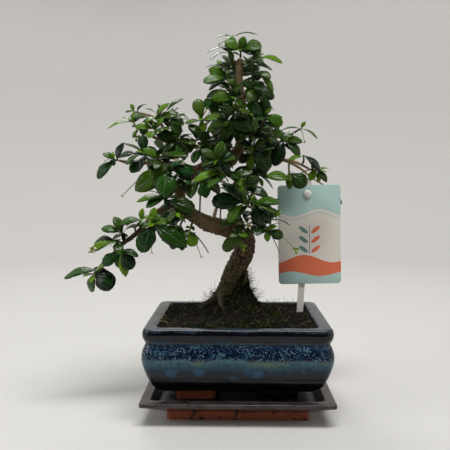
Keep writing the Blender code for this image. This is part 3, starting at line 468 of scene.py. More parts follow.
def make_pot_glaze():
    # Reactive blue glaze: thick, glossy and glassy, run down in streaks, so its colour goes by height with
    # ragged edges, and small pale crystals float in the dark upper belt. Bare clay shows on one front foot.
    glaze, node, place = new_material("reactive blue glaze")
    x, y, z = (node("SeparateXYZ", {0: place}, axis) for axis in "XYZ")
    broad = node("TexNoise", {"Vector": place, "Scale": 1 / GLAZE_WAVES[0][0], "Detail": 2})
    fine = node("TexNoise", {"Vector": place, "Scale": 1 / GLAZE_WAVES[1][0], "Detail": 6, "Roughness": 0.7})
    stretch = [1 / size for size in GLAZE_RUNS[0]]
    runs = node("TexNoise", {"Vector": node("VectorMath", {0: place, 1: stretch}, operation="MULTIPLY"),
                             "Scale": 1.0, "Detail": 4})
    level = z
    for wave, rise in ((broad, GLAZE_WAVES[0][1]), (fine, GLAZE_WAVES[1][1]), (runs, GLAZE_RUNS[1])):
        level = node("Math", {0: wave, 1: rise, 2: level}, operation="MULTIPLY_ADD")
    low, high = GLAZE_BY_HEIGHT[0][0], GLAZE_BY_HEIGHT[-1][0]
    share = node("MapRange", {0: level, 1: low + GLAZE_WAVE_MEAN, 2: high + GLAZE_WAVE_MEAN})
    tone = node("ValToRGB", {0: share},
                stops=[((at - low) / (high - low), colour) for at, colour in GLAZE_BY_HEIGHT])

    mottle = node("MapRange", {0: fine, 1: 0.34, 2: 0.56, 3: 0.5, 4: 0.0})
    stretch = [1 / size for size in STREAK_SIZE]
    streaks = node("TexNoise", {"Vector": node("VectorMath", {0: place, 1: stretch}, operation="MULTIPLY"),
                                "Scale": 1.0, "Detail": 5, "Roughness": 0.65})
    streaks = node("MapRange", {0: streaks, 1: 0.53, 2: 0.70, 3: 0.0, 4: 0.45})
    streaks = within(node, streaks, level, CRYSTAL_BELT)
    tinge = within(node, node("MapRange", {0: broad, 1: 0.54, 2: 0.66, 3: 0.0, 4: 0.5}), level, GREEN_BELT)
    cells = node("TexVoronoi", {"Vector": place, "Scale": 1 / CRYSTAL_SIZE, "Randomness": 1.0}, "Distance")
    grains = node("MapRange", {0: cells, 1: 0.2, 2: 0.36, 3: 0.85, 4: 0.0})
    patches = node("TexNoise", {"Vector": place, "Scale": 1 / CRYSTAL_PATCH, "Detail": 4})
    patches = node("MapRange", {0: patches, 1: 0.38, 2: 0.56})
    crystals = within(node, node("Math", {0: grains, 1: patches}, operation="MULTIPLY"), level, CRYSTAL_BELT)
    blobs = node("TexVoronoi", {"Vector": place, "Scale": 1 / DRIP_SPACING}, "Distance")
    drips = node("Math", {0: fine, 1: -0.5, 2: blobs}, operation="MULTIPLY_ADD")
    drips = within(node, node("MapRange", {0: drips, 1: -0.06, 2: 0.12, 3: 0.55, 4: 0.0}), level, DRIP_BELT)
    thin = node("MapRange", {0: node("NewGeometry", output="Pointiness"), 1: 0.53, 2: 0.6, 3: 0.0, 4: 0.8})

    front = node("Math", {0: y, 1: -10.0}, operation="LESS_THAN")
    left = node("Math", {0: x, 1: -12.0}, operation="LESS_THAN")
    bare_top = node("Math", {0: front, 1: left}, operation="MULTIPLY")
    bare_top = node("Math", {0: bare_top, 1: BARE_FOOT_TOP[1], 2: BARE_FOOT_TOP[0]}, operation="MULTIPLY_ADD")
    ragged = node("TexNoise", {"Vector": place, "Scale": 1 / BARE_FOOT_RAGGED[0], "Detail": 4})
    bare = node("Math", {0: ragged, 1: BARE_FOOT_RAGGED[1], 2: z}, operation="MULTIPLY_ADD")
    bare = node("Math", {0: bare, 1: bare_top}, operation="SUBTRACT")
    bare = node("MapRange", {0: bare, 1: 1.0, 2: 1.5, 3: 1.0, 4: 0.0})
    for share, colour in ((mottle, linear(GLAZE_POOL)), (streaks, linear(STREAK_BLUE)),
                          (tinge, linear(KILN_GREEN)), (crystals, linear(CRYSTAL_BLUE)),
                          (drips, linear(DRIP_BLUE)), (thin, linear(EDGE_BROWN)),
                          (bare, red_clay(node, place))):
        tone = node("Mix", {0: share, 6: tone, 7: colour}, 2, data_type="RGBA")
    gloss = node("MapRange", {0: bare, 3: 0.13, 4: 0.8})
    gloss = node("Math", {0: crystals, 1: 0.25, 2: gloss}, operation="MULTIPLY_ADD")
    peel = node("TexNoise", {"Vector": place, "Scale": 1 / POT_PEEL, "Detail": 4})
    bump = node("Bump", {"Height": peel, "Strength": 0.16, "Distance": 0.0005})
    return finish(glaze, IOR=1.52, Specular_IOR_Level=0.32, Base_Color=tone, Roughness=gloss, Normal=bump)


def make_pot():
    outside = [(*inset(POT_HALF, amount), height) for height, amount in curve_through(POT_CURVE, 4)]
    rim = softened([
        (outside[-1], 0),
        ((*inset(POT_HALF, 1.2), POT_TOP), 0.9),
        ((*inset(POT_MOUTH, -1.0), POT_TOP), 0.9),
        ((*POT_MOUTH, POT_INNER_CURVE[0][0]), 0),
    ])[1:-1]
    inner = [(*inset(POT_MOUTH, amount), height) for height, amount in curve_through(POT_INNER_CURVE, 2)]
    points, faces = lofted([outline(*spot) for spot in outside + rim + inner])
    glaze = make_pot_glaze()
    pot = new_piece("glazed_pot", uneven(points, *POT_UNEVEN), faces, [glaze])
    feet = []
    for sx, sy in ((-1, -1), (1, -1), (1, 1), (-1, 1)):
        centre = Vector((sx * POT_FOOT_CENTRE[0], sy * POT_FOOT_CENTRE[1], 0))
        profile = softened([
            ((*inset(POT_FOOT, 1.2), POT_FOOT_BASE), 0),
            ((*POT_FOOT, POT_FOOT_BASE), 0.9),
            ((*inset(POT_FOOT, -0.8), 19.0), 1.5),
            ((*inset(POT_FOOT, -3.0), 28.0), 0),
        ])
        rings = [[p + centre for p in outline(*spot, *FOOT_RING_COUNTS)] for spot in profile]
        feet.append(new_piece("foot", *lofted(rings), [glaze]))
    boolean(pot, feet, "UNION")
    drills = []
    for sx in (-1, 1):
        rings = [[Vector((sx * DRAIN_HOLE[0] + DRAIN_HOLE[1] * x, DRAIN_HOLE[1] * y, height))
                  for x, y in circle(DRILL_SIDES)] for height in (20.0, 33.0)]
        drills.append(new_piece("drill", *lofted(rings)))
    boolean(pot, drills, "DIFFERENCE")
    pot.data.shade_smooth()
    pot.data.set_sharp_from_angle(angle=math.radians(40))
    show_piece(pot, "pot_glaze", "pot")


make_pot()

# The drain meshes. A square of black polyethylene netting lies over each drain hole and keeps the soil in.
# Its solid has the right shape, so only its finish is made here: moulded, half matt, with soil dust on it.
NET_BLACK = "1A1A1B"
NET_DUST = "3B332B"
NET_DUST_SIZE = 2


def make_net_plastic():
    # Black polyethylene netting: moulded, half matt, and dulled brown by soil dust in its hollows.
    net, node, place = new_material("black polyethylene netting")
    dust = node("TexNoise", {"Vector": place, "Scale": 1 / NET_DUST_SIZE, "Detail": 5})
    tone = node("ValToRGB", {0: dust}, stops=((0.45, NET_BLACK), (0.7, NET_DUST)))
    finish(net, IOR=1.51, Roughness=0.5, Base_Color=tone)
    for name in ("drain_mesh_left", "drain_mesh_right"):
        solid = frame["nodes"][name]
        solid.data.materials.clear()
        solid.data.materials.append(net)


make_net_plastic()

# The soil. A dark mix of peat, bark and old roots, heaped up round the trunk's foot and pressed against
# the pot's walls. Crumbs and root fibres lie on it, and moss grows on the heaps and by the front edge.
SOIL_EDGE_TOP = 73.2
SOIL_BOTTOM = 31.8
SOIL_CENTRE_X = -4.0
SOIL_HEAPS = (
    (8.0, -3, 6, 42, 30), (21.0, 4, -1, 5.2, 7), (15.0, 5, -1, 12, 12), (11.0, -17, 2, 10, 13),
    (9.0, 2, -13, 10, 7), (4.5, 33, -6, 9, 10), (3.0, -34, -12, 10, 8),
)
SOIL_CRUMB = 0.9
SOIL_LUMP = (5.5, 3.2)
SOIL_RINGS = 64
SOIL_GRAINS = ((5.0, 0.7), (2.2, 0.5), (1.1, 0.3))
SOIL_TONES = ((0.30, "040303"), (0.48, "0D0906"), (0.62, "1C120B"), (0.78, "46301E"))
MOSS_TONES = ((0.38, "060904"), (0.55, "1A260A"), (0.78, "5A6420"))
FIBRE_TONES = ((0.30, "0B0805"), (0.52, "241A10"), (0.80, "8C7A50"))
MOSS_PATCHES = ((7 / 12, 5, -4, 13, 12), (8 / 12, 20, -34, 14, 6), (8 / 12, -14, -38, 26, 5),
                (7 / 12, 33, -8, 10, 12))
ROOT_TUFTS = ((1, 33, -6, 8, 9), (1, 9, -2, 7, 8), (1, -20, -2, 7, 9))
CRUMBS_PER_MM2 = 0.34
FIBRES_PER_MM2 = 0.08
MOSS_PER_MM2 = 2.2
TUFTS_PER_MM2 = 0.35
FORM_COUNT = 10
SOIL_RING_COUNTS = (110, 84, 8)


def bumps_at(spot, bumps):
    """The sum at a place of soft round bumps, each by its height, its centre and its reach in X and Y."""
    return sum(height * math.exp(-((spot.x - x) / reach_x) ** 2 - ((spot.y - y) / reach_y) ** 2)
               for height, x, y, reach_x, reach_y in bumps)


def soil_height(x, y, edge):
    """Height of the soil: level at the pot's wall, where edge is 1, and heaped up round the trunk."""
    rise = SOIL_CRUMB * math.sin(0.55 * x + 0.3 * y) * math.cos(0.47 * y - 0.2 * x)
    return SOIL_EDGE_TOP + (rise + bumps_at(Vector((x, y)), SOIL_HEAPS)) * (1 - edge ** 4)


def give_values(piece, name, values, kind="FLOAT", domain="POINT"):
    """A named attribute on a piece's mesh, with one value, vector or turn for each place."""
    attribute = piece.data.attributes.new(name, kind, domain)
    field = "vector" if kind == "FLOAT_VECTOR" else "value"
    if kind in ("FLOAT_VECTOR", "QUATERNION"):
        values = [part for value in values for part in value]
    attribute.data.foreach_set(field, list(values))


def new_growth_tree(name, sizes, kinds):
    """A Geometry Nodes tree, the function that adds its nodes, and its inputs: numbers with the values that
    they start from, and others by kind."""
    tree = bpy.data.node_groups.new(name, "GeometryNodeTree")
    for way in ("INPUT", "OUTPUT"):
        tree.interface.new_socket("Geometry", in_out=way, socket_type="NodeSocketGeometry")
    for label, value in sizes.items():
        kind = "NodeSocketInt" if isinstance(value, int) else "NodeSocketFloat"
        tree.interface.new_socket(label, in_out="INPUT", socket_type=kind).default_value = value
    for label, kind in kinds.items():
        tree.interface.new_socket(label, in_out="INPUT", socket_type="NodeSocket" + kind)
    node = functools.partial(add_node, tree)
    return tree, node, node("GroupInput", output=None).outputs


def grow(piece, tree, **inputs):
    """The piece's mesh as the tree makes it, kept as a plain mesh."""
    modifier = piece.modifiers.new(tree.name, "NODES")
    modifier.node_group = tree
    for item in tree.interface.items_tree:
        value = inputs.get(item.name.replace(" ", "_").lower())
        if item.in_out == "INPUT" and value is not None:
            modifier[item.identifier] = value
    apply_modifiers(piece)


def gather(name, pieces):
    """A collection of forms for instances to pick from, kept out of the scene."""
    group = bpy.data.collections.new(name)
    for piece in pieces:
        bpy.context.scene.collection.objects.unlink(piece)
        group.objects.link(piece)
    return group


def discard(group):
    for piece in list(group.objects):
        bpy.data.objects.remove(piece)
    bpy.data.collections.remove(group)


def make_scatter_tree():
    """Strews forms over a surface, as thickly as an attribute says, each turned and sized by chance."""
    tree, node, given = new_growth_tree(
        "strew over a surface",
        {"Per square metre": 1000.0, "Smallest": 0.7, "Largest": 1.3, "Tilt": 0.5, "Seed": 1},
        {"Weight": "String", "Forms": "Collection", "Finish": "Material"})
    weight = node("InputNamedAttribute", {"Name": given["Weight"]}, data_type="FLOAT")
    density = node("Math", {0: weight, 1: given["Per square metre"]}, operation="MULTIPLY")
    spots = node("DistributePointsOnFaces", {"Mesh": given["Geometry"], "Density": density,
                                             "Seed": given["Seed"]}, None).outputs
    lean = node("Math", {0: given["Tilt"], 1: -1.0}, operation="MULTIPLY")
    low = node("CombineXYZ", {0: lean, 1: lean, 2: -math.pi})
    high = node("CombineXYZ", {0: given["Tilt"], 1: given["Tilt"], 2: math.pi})
    spin = node("EulerToRotation", {0: node("RandomValue", {0: low, 1: high, "Seed": given["Seed"]},
                                            data_type="FLOAT_VECTOR")})
    turn = node("RotateRotation", {0: spots["Rotation"], 1: spin}, rotation_space="LOCAL")
    size = node("RandomValue", {2: given["Smallest"], 3: given["Largest"], "Seed": 7}, 1)
    pick = node("RandomValue", {4: 0, 5: FORM_COUNT - 1, "Seed": 11}, 2, data_type="INT")
    shade = node("RandomValue", {2: 0.0, 3: 1.0, "Seed": 13}, 1)
    placed = node("InstanceOnPoints", {
        "Points": spots["Points"], "Instance": node("CollectionInfo", {0: given["Forms"], 1: True, 2: True}),
        "Pick Instance": True, "Instance Index": pick, "Rotation": turn, "Scale": size})
    toned = node("StoreNamedAttribute", {"Geometry": placed, "Name": "tone", "Value": shade},
                 domain="INSTANCE")
    done = node("SetMaterial", {0: node("RealizeInstances", {0: toned}), 2: given["Finish"]})
    node("GroupOutput", {0: done}, None)
    return tree


def strew(name, ground, tree, forms, slot, **inputs):
    """A piece strewn over the ground's surface, which rides with it."""
    group = gather(name + " forms", forms)
    piece = bpy.data.objects.new(name, ground.data.copy())
    bpy.context.scene.collection.objects.link(piece)
    grow(piece, tree, forms=group, **inputs)
    discard(group)
    show_piece(piece, slot)
    return piece


def ball(subdivisions, radius):
    """Points and faces of an even ball."""
    mesh = bmesh.new()
    bmesh.ops.create_icosphere(mesh, subdivisions=subdivisions, radius=radius)
    points = [vertex.co.copy() for vertex in mesh.verts]
    faces = [[vertex.index for vertex in face.verts] for face in mesh.faces]
    mesh.free()
    return points, faces


def crumb_form(draw, size):
    """An irregular lump with 20 faces."""
    points, faces = ball(1, size)
    stretch = Vector((draw.uniform(0.6, 1.5), draw.uniform(0.6, 1.3), draw.uniform(0.4, 0.9)))
    piece = new_piece("crumb", [point * stretch * draw.uniform(0.75, 1.25) for point in points], faces)
    piece.data.shade_flat()
    return piece


def thread_form(draw, length, radius, curl, lift, steps=5):
    """A thin curved thread with three sides, thinner to its tip."""
    heading = Vector((1, 0, lift)).normalized()
    bend = Vector([draw.uniform(-curl, curl) for _ in range(3)])
    spot = Vector((0, 0, -radius))
    rings = []
    for step in range(steps + 1):
        wide = radius * (1 - 0.75 * step / steps)
        across = heading.orthogonal().normalized()
        beside = heading.cross(across)
        rings.append([spot + (across * x + beside * y) * wide for x, y in circle(3)])
        spot = spot + heading * (length / steps)
        heading = (heading + bend / steps).normalized()
    return new_piece("thread", *lofted(rings))


def moss_form(draw, height):
    """A sprig of moss: a few narrow leaves round one point."""
    points, faces = [], []
    for index in range(5):
        angle = 2.4 * index + draw.uniform(-0.4, 0.4)
        out = Vector((math.cos(angle), math.sin(angle), 0))
        side = Vector((-out.y, out.x, 0)) * height * 0.13
        reach = height * draw.uniform(0.35, 0.7)
        rise = height * draw.uniform(0.6, 1.1)
        start = len(points)
        middle = out * reach * 0.45 + Vector((0, 0, rise * 0.6))
        tip = out * reach + Vector((0, 0, rise))
        points += [out * 0.02 - side * 0.5, out * 0.02 + side * 0.5, middle + side, middle - side, tip]
        faces += [(start, start + 1, start + 2, start + 3), (start + 3, start + 2, start + 4)]
    return new_piece("moss sprig", points, faces)


def make_toned_material(name, tones, roughness, grain):
    """A rough natural finish whose tone changes from place to place and from one crumb to the next."""
    material, node, place = new_material(name)
    spread = node("TexNoise", {"Vector": place, "Scale": 1 / grain, "Detail": 6})
    level = node("Math", {0: node("Attribute", output="Fac", attribute_name="tone"), 1: 0.35, 2: spread},
                 operation="MULTIPLY_ADD")
    ramp = node("ValToRGB", {0: node("Math", {0: level, 1: 0.17}, operation="SUBTRACT")}, stops=tones)
    finish(material, IOR=1.4, Specular_IOR_Level=0.25, Roughness=roughness, Base_Color=ramp)
    return material, node, place, ramp


def make_soil():
    # Damp peat soil: black-brown, matt and crumbly with lighter bits of bark, and green under the moss.
    peat, node, place, ramp = make_toned_material("damp peat soil", SOIL_TONES, 0.85, 2.0)
    green = node("TexNoise", {"Vector": place, "Scale": 1 / 1.5, "Detail": 5})
    green = node("ValToRGB", {0: green}, stops=MOSS_TONES)
    patch = node("MapRange", {0: node("Attribute", output="Fac", attribute_name="moss"), 1: 0.1, 2: 0.7})
    skin = node("Mix", {0: patch, 6: ramp, 7: green}, 2, data_type="RGBA")
    grains = node("TexNoise", {"Vector": place, "Scale": 1 / 0.9, "Detail": 4})
    bump = node("Bump", {"Height": grains, "Strength": 0.8, "Distance": 0.0006})
    finish(peat, Base_Color=skin, Normal=bump)

    wall = [(*inset(POT_MOUTH, amount - 0.05), height)
            for height, amount in curve_through(POT_INNER_CURVE, 2)]
    edge_ring = outline(*wall[0], *SOIL_RING_COUNTS)
    centre = Vector((SOIL_CENTRE_X, 0, 0))
    rings, growths = [], []
    for level in range(1, SOIL_RINGS + 1):
        edge = level / SOIL_RINGS
        ring = []
        for point in edge_ring:
            spot = centre.lerp(Vector((point.x, point.y, 0)), edge)
            height = soil_height(spot.x, spot.y, edge)
            height += sum(noise.noise(spot / size) * rise for size, rise in SOIL_GRAINS)
            heaped = min(1.0, max(0.0, height - SOIL_EDGE_TOP) / 14)
            height += noise.noise(spot / SOIL_LUMP[0]) * SOIL_LUMP[1] * heaped
            ring.append(Vector((spot.x, spot.y, height)))
            moss = noise.noise(spot / 6) * 0.5 + bumps_at(spot, MOSS_PATCHES)
            growths.append(min(1.0, max(0.0, moss)) if edge < 0.985 else 0.0)
        rings.append(ring)
    walls = [outline(*spot, *SOIL_RING_COUNTS) for spot in wall[1:-1]]
    walls.append(outline(*wall[-1][:3], SOIL_BOTTOM, *SOIL_RING_COUNTS))
    points, faces = lofted(rings + walls)
    soil = new_piece("potting_soil", points, [tuple(reversed(face)) for face in faces], [peat])
    top = len(growths)
    beneath = [0.0] * (len(points) - top)
    give_values(soil, "moss", growths + beneath)
    give_values(soil, "loose", [0.3 + 0.7 * (1 - growth) for growth in growths] + beneath)
    give_values(soil, "tufts", [bumps_at(point, ROOT_TUFTS) for point in points[:top]] + beneath)

    # Crumbs of peat and bark, old root fibres, and cushion moss: all matt, in browns and a yellowish green
    # that change from one to the next, so the soil looks loose and mixed.
    tree = make_scatter_tree()
    draw = random.Random("soil")
    crumbs = make_toned_material("peat and bark crumbs", SOIL_TONES, 0.8, 3.0)[0]
    strew("soil_crumbs", soil, tree, [crumb_form(draw, draw.uniform(0.35, 0.8)) for _ in range(FORM_COUNT)],
          "soil", per_square_metre=CRUMBS_PER_MM2 * 1e6, weight="loose", finish=crumbs, seed=3, tilt=0.6,
          smallest=0.5, largest=1.6)
    fibres = make_toned_material("old root fibres", FIBRE_TONES, 0.7, 4.0)[0]
    threads = [thread_form(draw, draw.uniform(4, 10), draw.uniform(0.12, 0.2), 1.6, draw.uniform(0.05, 0.7))
               for _ in range(FORM_COUNT)]
    strew("root_fibres", soil, tree, threads, "soil", per_square_metre=FIBRES_PER_MM2 * 1e6, weight="loose",
          finish=fibres, seed=5, tilt=0.35, smallest=0.6, largest=1.3)
    threads = [thread_form(draw, draw.uniform(7, 15), draw.uniform(0.14, 0.24), 2.2,
                           draw.uniform(0.5, 2.5), 7) for _ in range(FORM_COUNT)]
    strew("root_tufts", soil, tree, threads, "soil", per_square_metre=TUFTS_PER_MM2 * 1e6, weight="tufts",
          finish=fibres, seed=15, tilt=0.6, smallest=0.5, largest=1.2)
    mossy = make_toned_material("cushion moss", MOSS_TONES, 0.7, 5.0)[0]
    strew("moss_cushion", soil, tree, [moss_form(draw, draw.uniform(1.0, 1.9)) for _ in range(FORM_COUNT)],
          "soil", per_square_metre=MOSS_PER_MM2 * 1e6, weight="moss", finish=mossy, seed=9, tilt=0.5,
          smallest=0.6, largest=1.3)
    show_piece(soil, "soil", "soil")


make_soil()

# The wood. Trunk and limbs grew as one, bent with wire when young, and flare into roots at the foot.
# The bark is grey-brown and finely cracked along its length, with knobs where shoots were cut back,
# redder where it has flaked, and green with algae low down.
TRUNK_BOTTOM = 52.0
TRUNK_SIDES = 10
LIMB_SIDES = 5
PATH_STEPS = 2
TRUNK_LINE = (
    (-11, 0, TRUNK_BOTTOM, 10.0), (-11, 0, 84, 9.8), (-5, 0, 106, 9.0), (6, -3, 132, 9.2),
    (0, -5, 145, 8.4), (-25, -11, 153, 6.8), (-44, -13, 166, 5.4), (-46, -10, 183, 4.8),
    (-31, -1, 198, 4.6), (-7, 5, 203, 4.8), (3, 5, 222, 4.3), (3, 3, 245, 4.0),
    (1, 1, 272, 3.4), (2, 0, 288, 2.6),
)
LIMBS = {
    "low_left": (3.4, 1.5, (
        (-46, -12, 171), (-63, -19, 163), (-80, -25, 146), (-93, -25, 136), (-109, -21, 119))),
    "mid_left": (2.7, 1.2, ((-33, -2, 197), (-57, -11, 202), (-86, -14, 202), (-97, -13, 204))),
    "high_left": (2.7, 1.2, ((0, 6, 211), (-31, -3, 215), (-61, -10, 220), (-79, -11, 229))),
    "high_left_upper": (1.7, 1.0, ((-54, -8, 218), (-60, -10, 230), (-68, -10, 239), (-81, -8, 243))),
    "left_riser": (1.7, 1.0, ((-27, -2, 214), (-29, -6, 222), (-30, -8, 235))),
    "crown_left": (1.8, 1.0, ((2, 3, 245), (-7, -2, 250), (-17, -7, 256))),
    "crown_right": (1.7, 1.0, ((2, 2, 254), (9, -2, 258), (17, -5, 261))),
    "right_high": (1.7, 1.0, ((4, 5, 229), (12, 2, 232), (20, -3, 235))),
    "right": (2.3, 1.1, ((2, 6, 220), (14, 9, 215), (27, 10, 216), (47, 7, 228))),
    "right_low": (2.5, 1.1, ((0, 6, 211), (14, 2, 206), (43, -5, 204), (59, -8, 197))),
    "right_hang": (1.6, 0.9, ((40, -4, 204), (52, 10, 199), (66, 25, 190), (80, 30, 182))),
    "back_mid": (2.2, 1.0, ((0, 6, 209), (3, 24, 213), (9, 42, 217), (15, 54, 218))),
    "back_left": (2.2, 1.0, ((-37, -3, 195), (-44, 13, 201), (-53, 30, 206), (-62, 42, 209))),
    "back_low": (2.4, 1.0, ((-19, -9, 151), (-20, 9, 158), (-17, 26, 167), (-10, 40, 174))),
    "front_mid": (1.9, 0.9, ((-12, 4, 202), (-9, -12, 200), (-9, -28, 195), (-11, -38, 190))),
    "front_high": (1.6, 0.9, ((3, 4, 237), (0, -12, 237), (-6, -24, 234))),
    "front_low": (1.6, 0.9, ((-46, -10, 182), (-50, -22, 186), (-55, -31, 187))),
    "centre_rise": (1.7, 0.9, ((6, -4, 141), (13, -9, 151), (12, -12, 163), (10, -12, 171))),
    "centre_right": (1.5, 0.9, ((7, -3, 140), (15, -11, 147), (21, -15, 148))),
}
ROOTS = (
    (5.0, 1.8, ((-15, -2, 93), (-21, -3, 87), (-28, -5, 83), (-33, -8, 76))),
    (5.0, 1.5, ((-12, 3, 94), (-20, 8, 84), (-29, 16, 77), (-38, 24, 72))),
    (3.6, 1.3, ((-13, -5, 95), (-14, -11, 88), (-12, -15, 83), (-8, -18, 74))),
    (5.0, 1.5, ((-6, 4, 96), (-3, 12, 86), (2, 21, 78), (8, 30, 72))),
    (2.6, 0.8, ((-2, -4, 104), (4, -7, 100), (7, -8, 108), (8, -7, 114))),
)
BARK_VOXEL = 0.75
FINE_SIDES = 20
FINE_STEPS = 7
KNOB = (6.0, 3.0)
BARK_RELAX = (0.6, 4)
CRACKS = ((2.0, 5.0, 0.35), (1.0, 2.4, 0.2), (8.0, 3.0, 1.5), (3.4, 1.8, 0.8))
FLAKES = (3.2, 0.9)
BARK_CRACK_SIZE = (1.7, 1.7, 3.0)
BARK_PATCH = 13
BARK_BLOTCH = 4.5
BARK_TONES = ((0.30, "0C0805"), (0.42, "2A1F15"), (0.54, "544128"), (0.70, "A08A62"))
BARK_DARK = "0E0A06"
BARK_RED = "4A2211"
BARK_GREEN = "4E4F20"
BARK_GREY = "7C7058"
BARK_YOUNG = "9A825C"
BARK_EASES = (138.0, 20.0, 0.6)


def limb_line(name):
    """A limb's points with the radius in the fourth place."""
    if name == "trunk":
        return [Vector(point) for point in TRUNK_LINE]
    first, last, line = LIMBS[name]
    return with_radius(line, first, last)


def with_radius(line, first, last):
    count = len(line) - 1
    return [Vector(point + (first + (last - first) * k / count,)) for k, point in enumerate(line)]


def limb_path(name):
    return curve_through(limb_line(name), PATH_STEPS)


def tube(path, sides, extra=0.0):
    """A closed tube along a path whose points hold x, y, z and the radius."""
    rings = []
    across = None
    for index, point in enumerate(path):
        ahead = path[min(index + 1, len(path) - 1)].to_3d() - path[max(index - 1, 0)].to_3d()
        ahead.normalize()
        across = ahead.orthogonal() if across is None else across - ahead * across.dot(ahead)
        across.normalize()
        beside = ahead.cross(across)
        rings.append([point.to_3d() + (across * x + beside * y) * (point.w + extra)
                      for x, y in circle(sides)])
    return lofted(rings)


def make_bark():
    # Rough matt bark, finely cracked along the wood: grey-brown with redder flakes and dark damp spots, green
    # with algae low down, darker to nearly black towards the foot, and tan where the wood is young.
    bark, node, place = new_material("bark")
    straight = node("Attribute", output="Vector", attribute_name="straight")
    stretch = [1 / size for size in BARK_CRACK_SIZE]
    cracks = node("TexNoise", {"Vector": node("VectorMath", {0: straight, 1: stretch}, operation="MULTIPLY"),
                               "Scale": 1.0, "Detail": 8, "Roughness": 0.65})
    patches = node("TexNoise", {"Vector": place, "Scale": 1 / BARK_PATCH, "Detail": 4})
    blotches = node("TexNoise", {"Vector": place, "Scale": 1 / BARK_BLOTCH, "Detail": 5, "Roughness": 0.7})
    height = node("SeparateXYZ", {0: place}, "Z")
    algae = node("Math", {0: patches, 1: 60.0, 2: height}, operation="MULTIPLY_ADD")
    # Darker towards the foot: below about 120 mm the bark is mixed towards nearly black.
    foot_level = node("Math", {0: cracks, 1: 30.0, 2: height}, operation="MULTIPLY_ADD")
    tone = node("ValToRGB", {0: cracks}, stops=BARK_TONES)
    for source, starts, full, most, colour in (
            (patches, 0.55, 0.7, 0.75, BARK_RED), (blotches, 0.56, 0.68, 0.55, BARK_GREY),
            (blotches, 0.44, 0.34, 0.75, BARK_DARK), (algae, 155.0, 118.0, 0.65, BARK_GREEN),
            (foot_level, 122.0, 98.0, 0.8, BARK_DARK), (height, 138.0, 158.0, 0.8, BARK_YOUNG)):
        share = node("MapRange", {0: source, 1: starts, 2: full, 4: most})
        tone = node("Mix", {0: share, 6: tone, 7: linear(colour)}, 2, data_type="RGBA")
    bump = node("Bump", {"Height": cracks, "Strength": 1.0, "Distance": 0.001})
    return finish(bark, Roughness=0.8, IOR=1.45, Base_Color=tone, Normal=bump)


def make_wood():
    """Trunk, limbs and roots as one skin, with knobs, cracks and flakes that follow each limb's length."""
    lines = [limb_line("trunk")] + [limb_line(name) for name in LIMBS]
    lines += [with_radius(line, first, last) for first, last, line in ROOTS]
    tubes, spines = [], []
    for line in lines:
        path = curve_through(line, FINE_STEPS)
        tubes.append(tube(path, FINE_SIDES))
        run = 0.0
        for start, end in zip(path, path[1:]):
            ahead = end.to_3d() - start.to_3d()
            spines.append((start.to_3d(), ahead.normalized(), run, start.w))
            run += ahead.length
    wood = new_piece("bark_skin", *joined(tubes))
    remesh = wood.modifiers.new("one skin", "REMESH")
    remesh.mode = "VOXEL"
    remesh.voxel_size = BARK_VOXEL * MM
    relax = wood.modifiers.new("relax", "SMOOTH")
    relax.factor, relax.iterations = BARK_RELAX
    apply_modifiers(wood)
    tree = KDTree(len(spines))
    for index, spine in enumerate(spines):
        tree.insert(spine[0], index)
    tree.balance()
    straights, moved = [], []
    for vertex in wood.data.vertices:
        spot = vertex.co / MM
        start, ahead, run, radius = min((spines[k] for _, k, _ in tree.find_n(spot, 3)),
                                        key=lambda spine: (spot - spine[0]).length - spine[3])
        off = spot - start
        length = off.dot(ahead)
        out = off - ahead * length
        across = Vector((0, 1, 0)) - ahead * ahead.y
        across.normalize()
        straight = Vector((out.dot(across), out.dot(ahead.cross(across)), run + length))
        share = min(1.0, radius / 6)
        size, rise = KNOB
        push = max(0.0, noise.noise(spot / size) - 0.1) * rise * share
        for wide, tall, depth in CRACKS:
            ridge = noise.noise(Vector((straight.x / wide, straight.y / wide, straight.z / tall)))
            push -= abs(ridge) * depth * (0.4 + 0.6 * share)
        push += noise.noise(spot / FLAKES[0]) * FLAKES[1] * share
        push *= 1 - BARK_EASES[2] * min(1.0, max(0.0, (spot.z - BARK_EASES[0]) / BARK_EASES[1]))
        moved.append((spot + vertex.normal * push) * MM)
        straights.append(straight)
    for vertex, spot in zip(wood.data.vertices, moved):
        vertex.co = spot
    give_values(wood, "straight", straights, "FLOAT_VECTOR")
    wood.data.materials.append(make_bark())
    wood.data.shade_smooth()
    show_piece(wood, "bark", "trunk")


make_wood()

# The leafy shoots. Small tufts of leathery, spoon-shaped leaves, blunt and a little toothed at the tip,
# on short green stems. Old leaves are dark and glossy with sunken veins and fine pale dots, young ones
# yellow-green, and all are paler and duller beneath.
LEAF_THICKNESS = 0.7
LEAF_WIDTH = 0.56
LEAF_OUTLINE = ((0.35, 0.70), (0.75, 0.94))
LEAF_MIDDLE = 0.6
LEAF_ARCH = 0.10
LEAF_DROOP = 0.12
LEAF_FOLD = 0.22
GOLDEN_ANGLE = math.radians(137.5)
ANGLE_DRAW = 0.3
LAST_LEAF_PLACE = 0.95
LEAFY_SHARE = 0.7
LEAF_SPREAD = (math.radians(72), math.radians(34))
LEAF_SAG = 0.12
LEAF_SIZE_DRAW = (0.82, 1.08)
LEAF_ROOT_DEPTH = 0.3
ROLL_DRAW = 0.4
AIMED_ROLL_DRAW = 0.12
BACK_STARTS_AT_Y = 12
LIGHT_ON_FRONT = (0, -0.45, 0.85)
LIGHT_ON_BACK = (0, 0.45, 0.85)
EYE = (0, -466, 182)
CLEAR_SHARE = 0.12
CLEAR_CORE = 0.65
LEAF_TRIES = 16
TURN_PER_TRY = 0.06
SHRINK_PER_TRY = 0.02
WOOD_SPACE = 0.4
STEM_SPACE = 0.35
LEAF_SPACE = 0.35
OWN_LEAF_SPACE = 0.2
OWN_LEAF_START = 0.4
STEM_GAP = 0.3
SHOOT_RADIUS = (0.95, 0.65)
SHOOT_SIDES = 4
SHOOT_BEND = 0.45
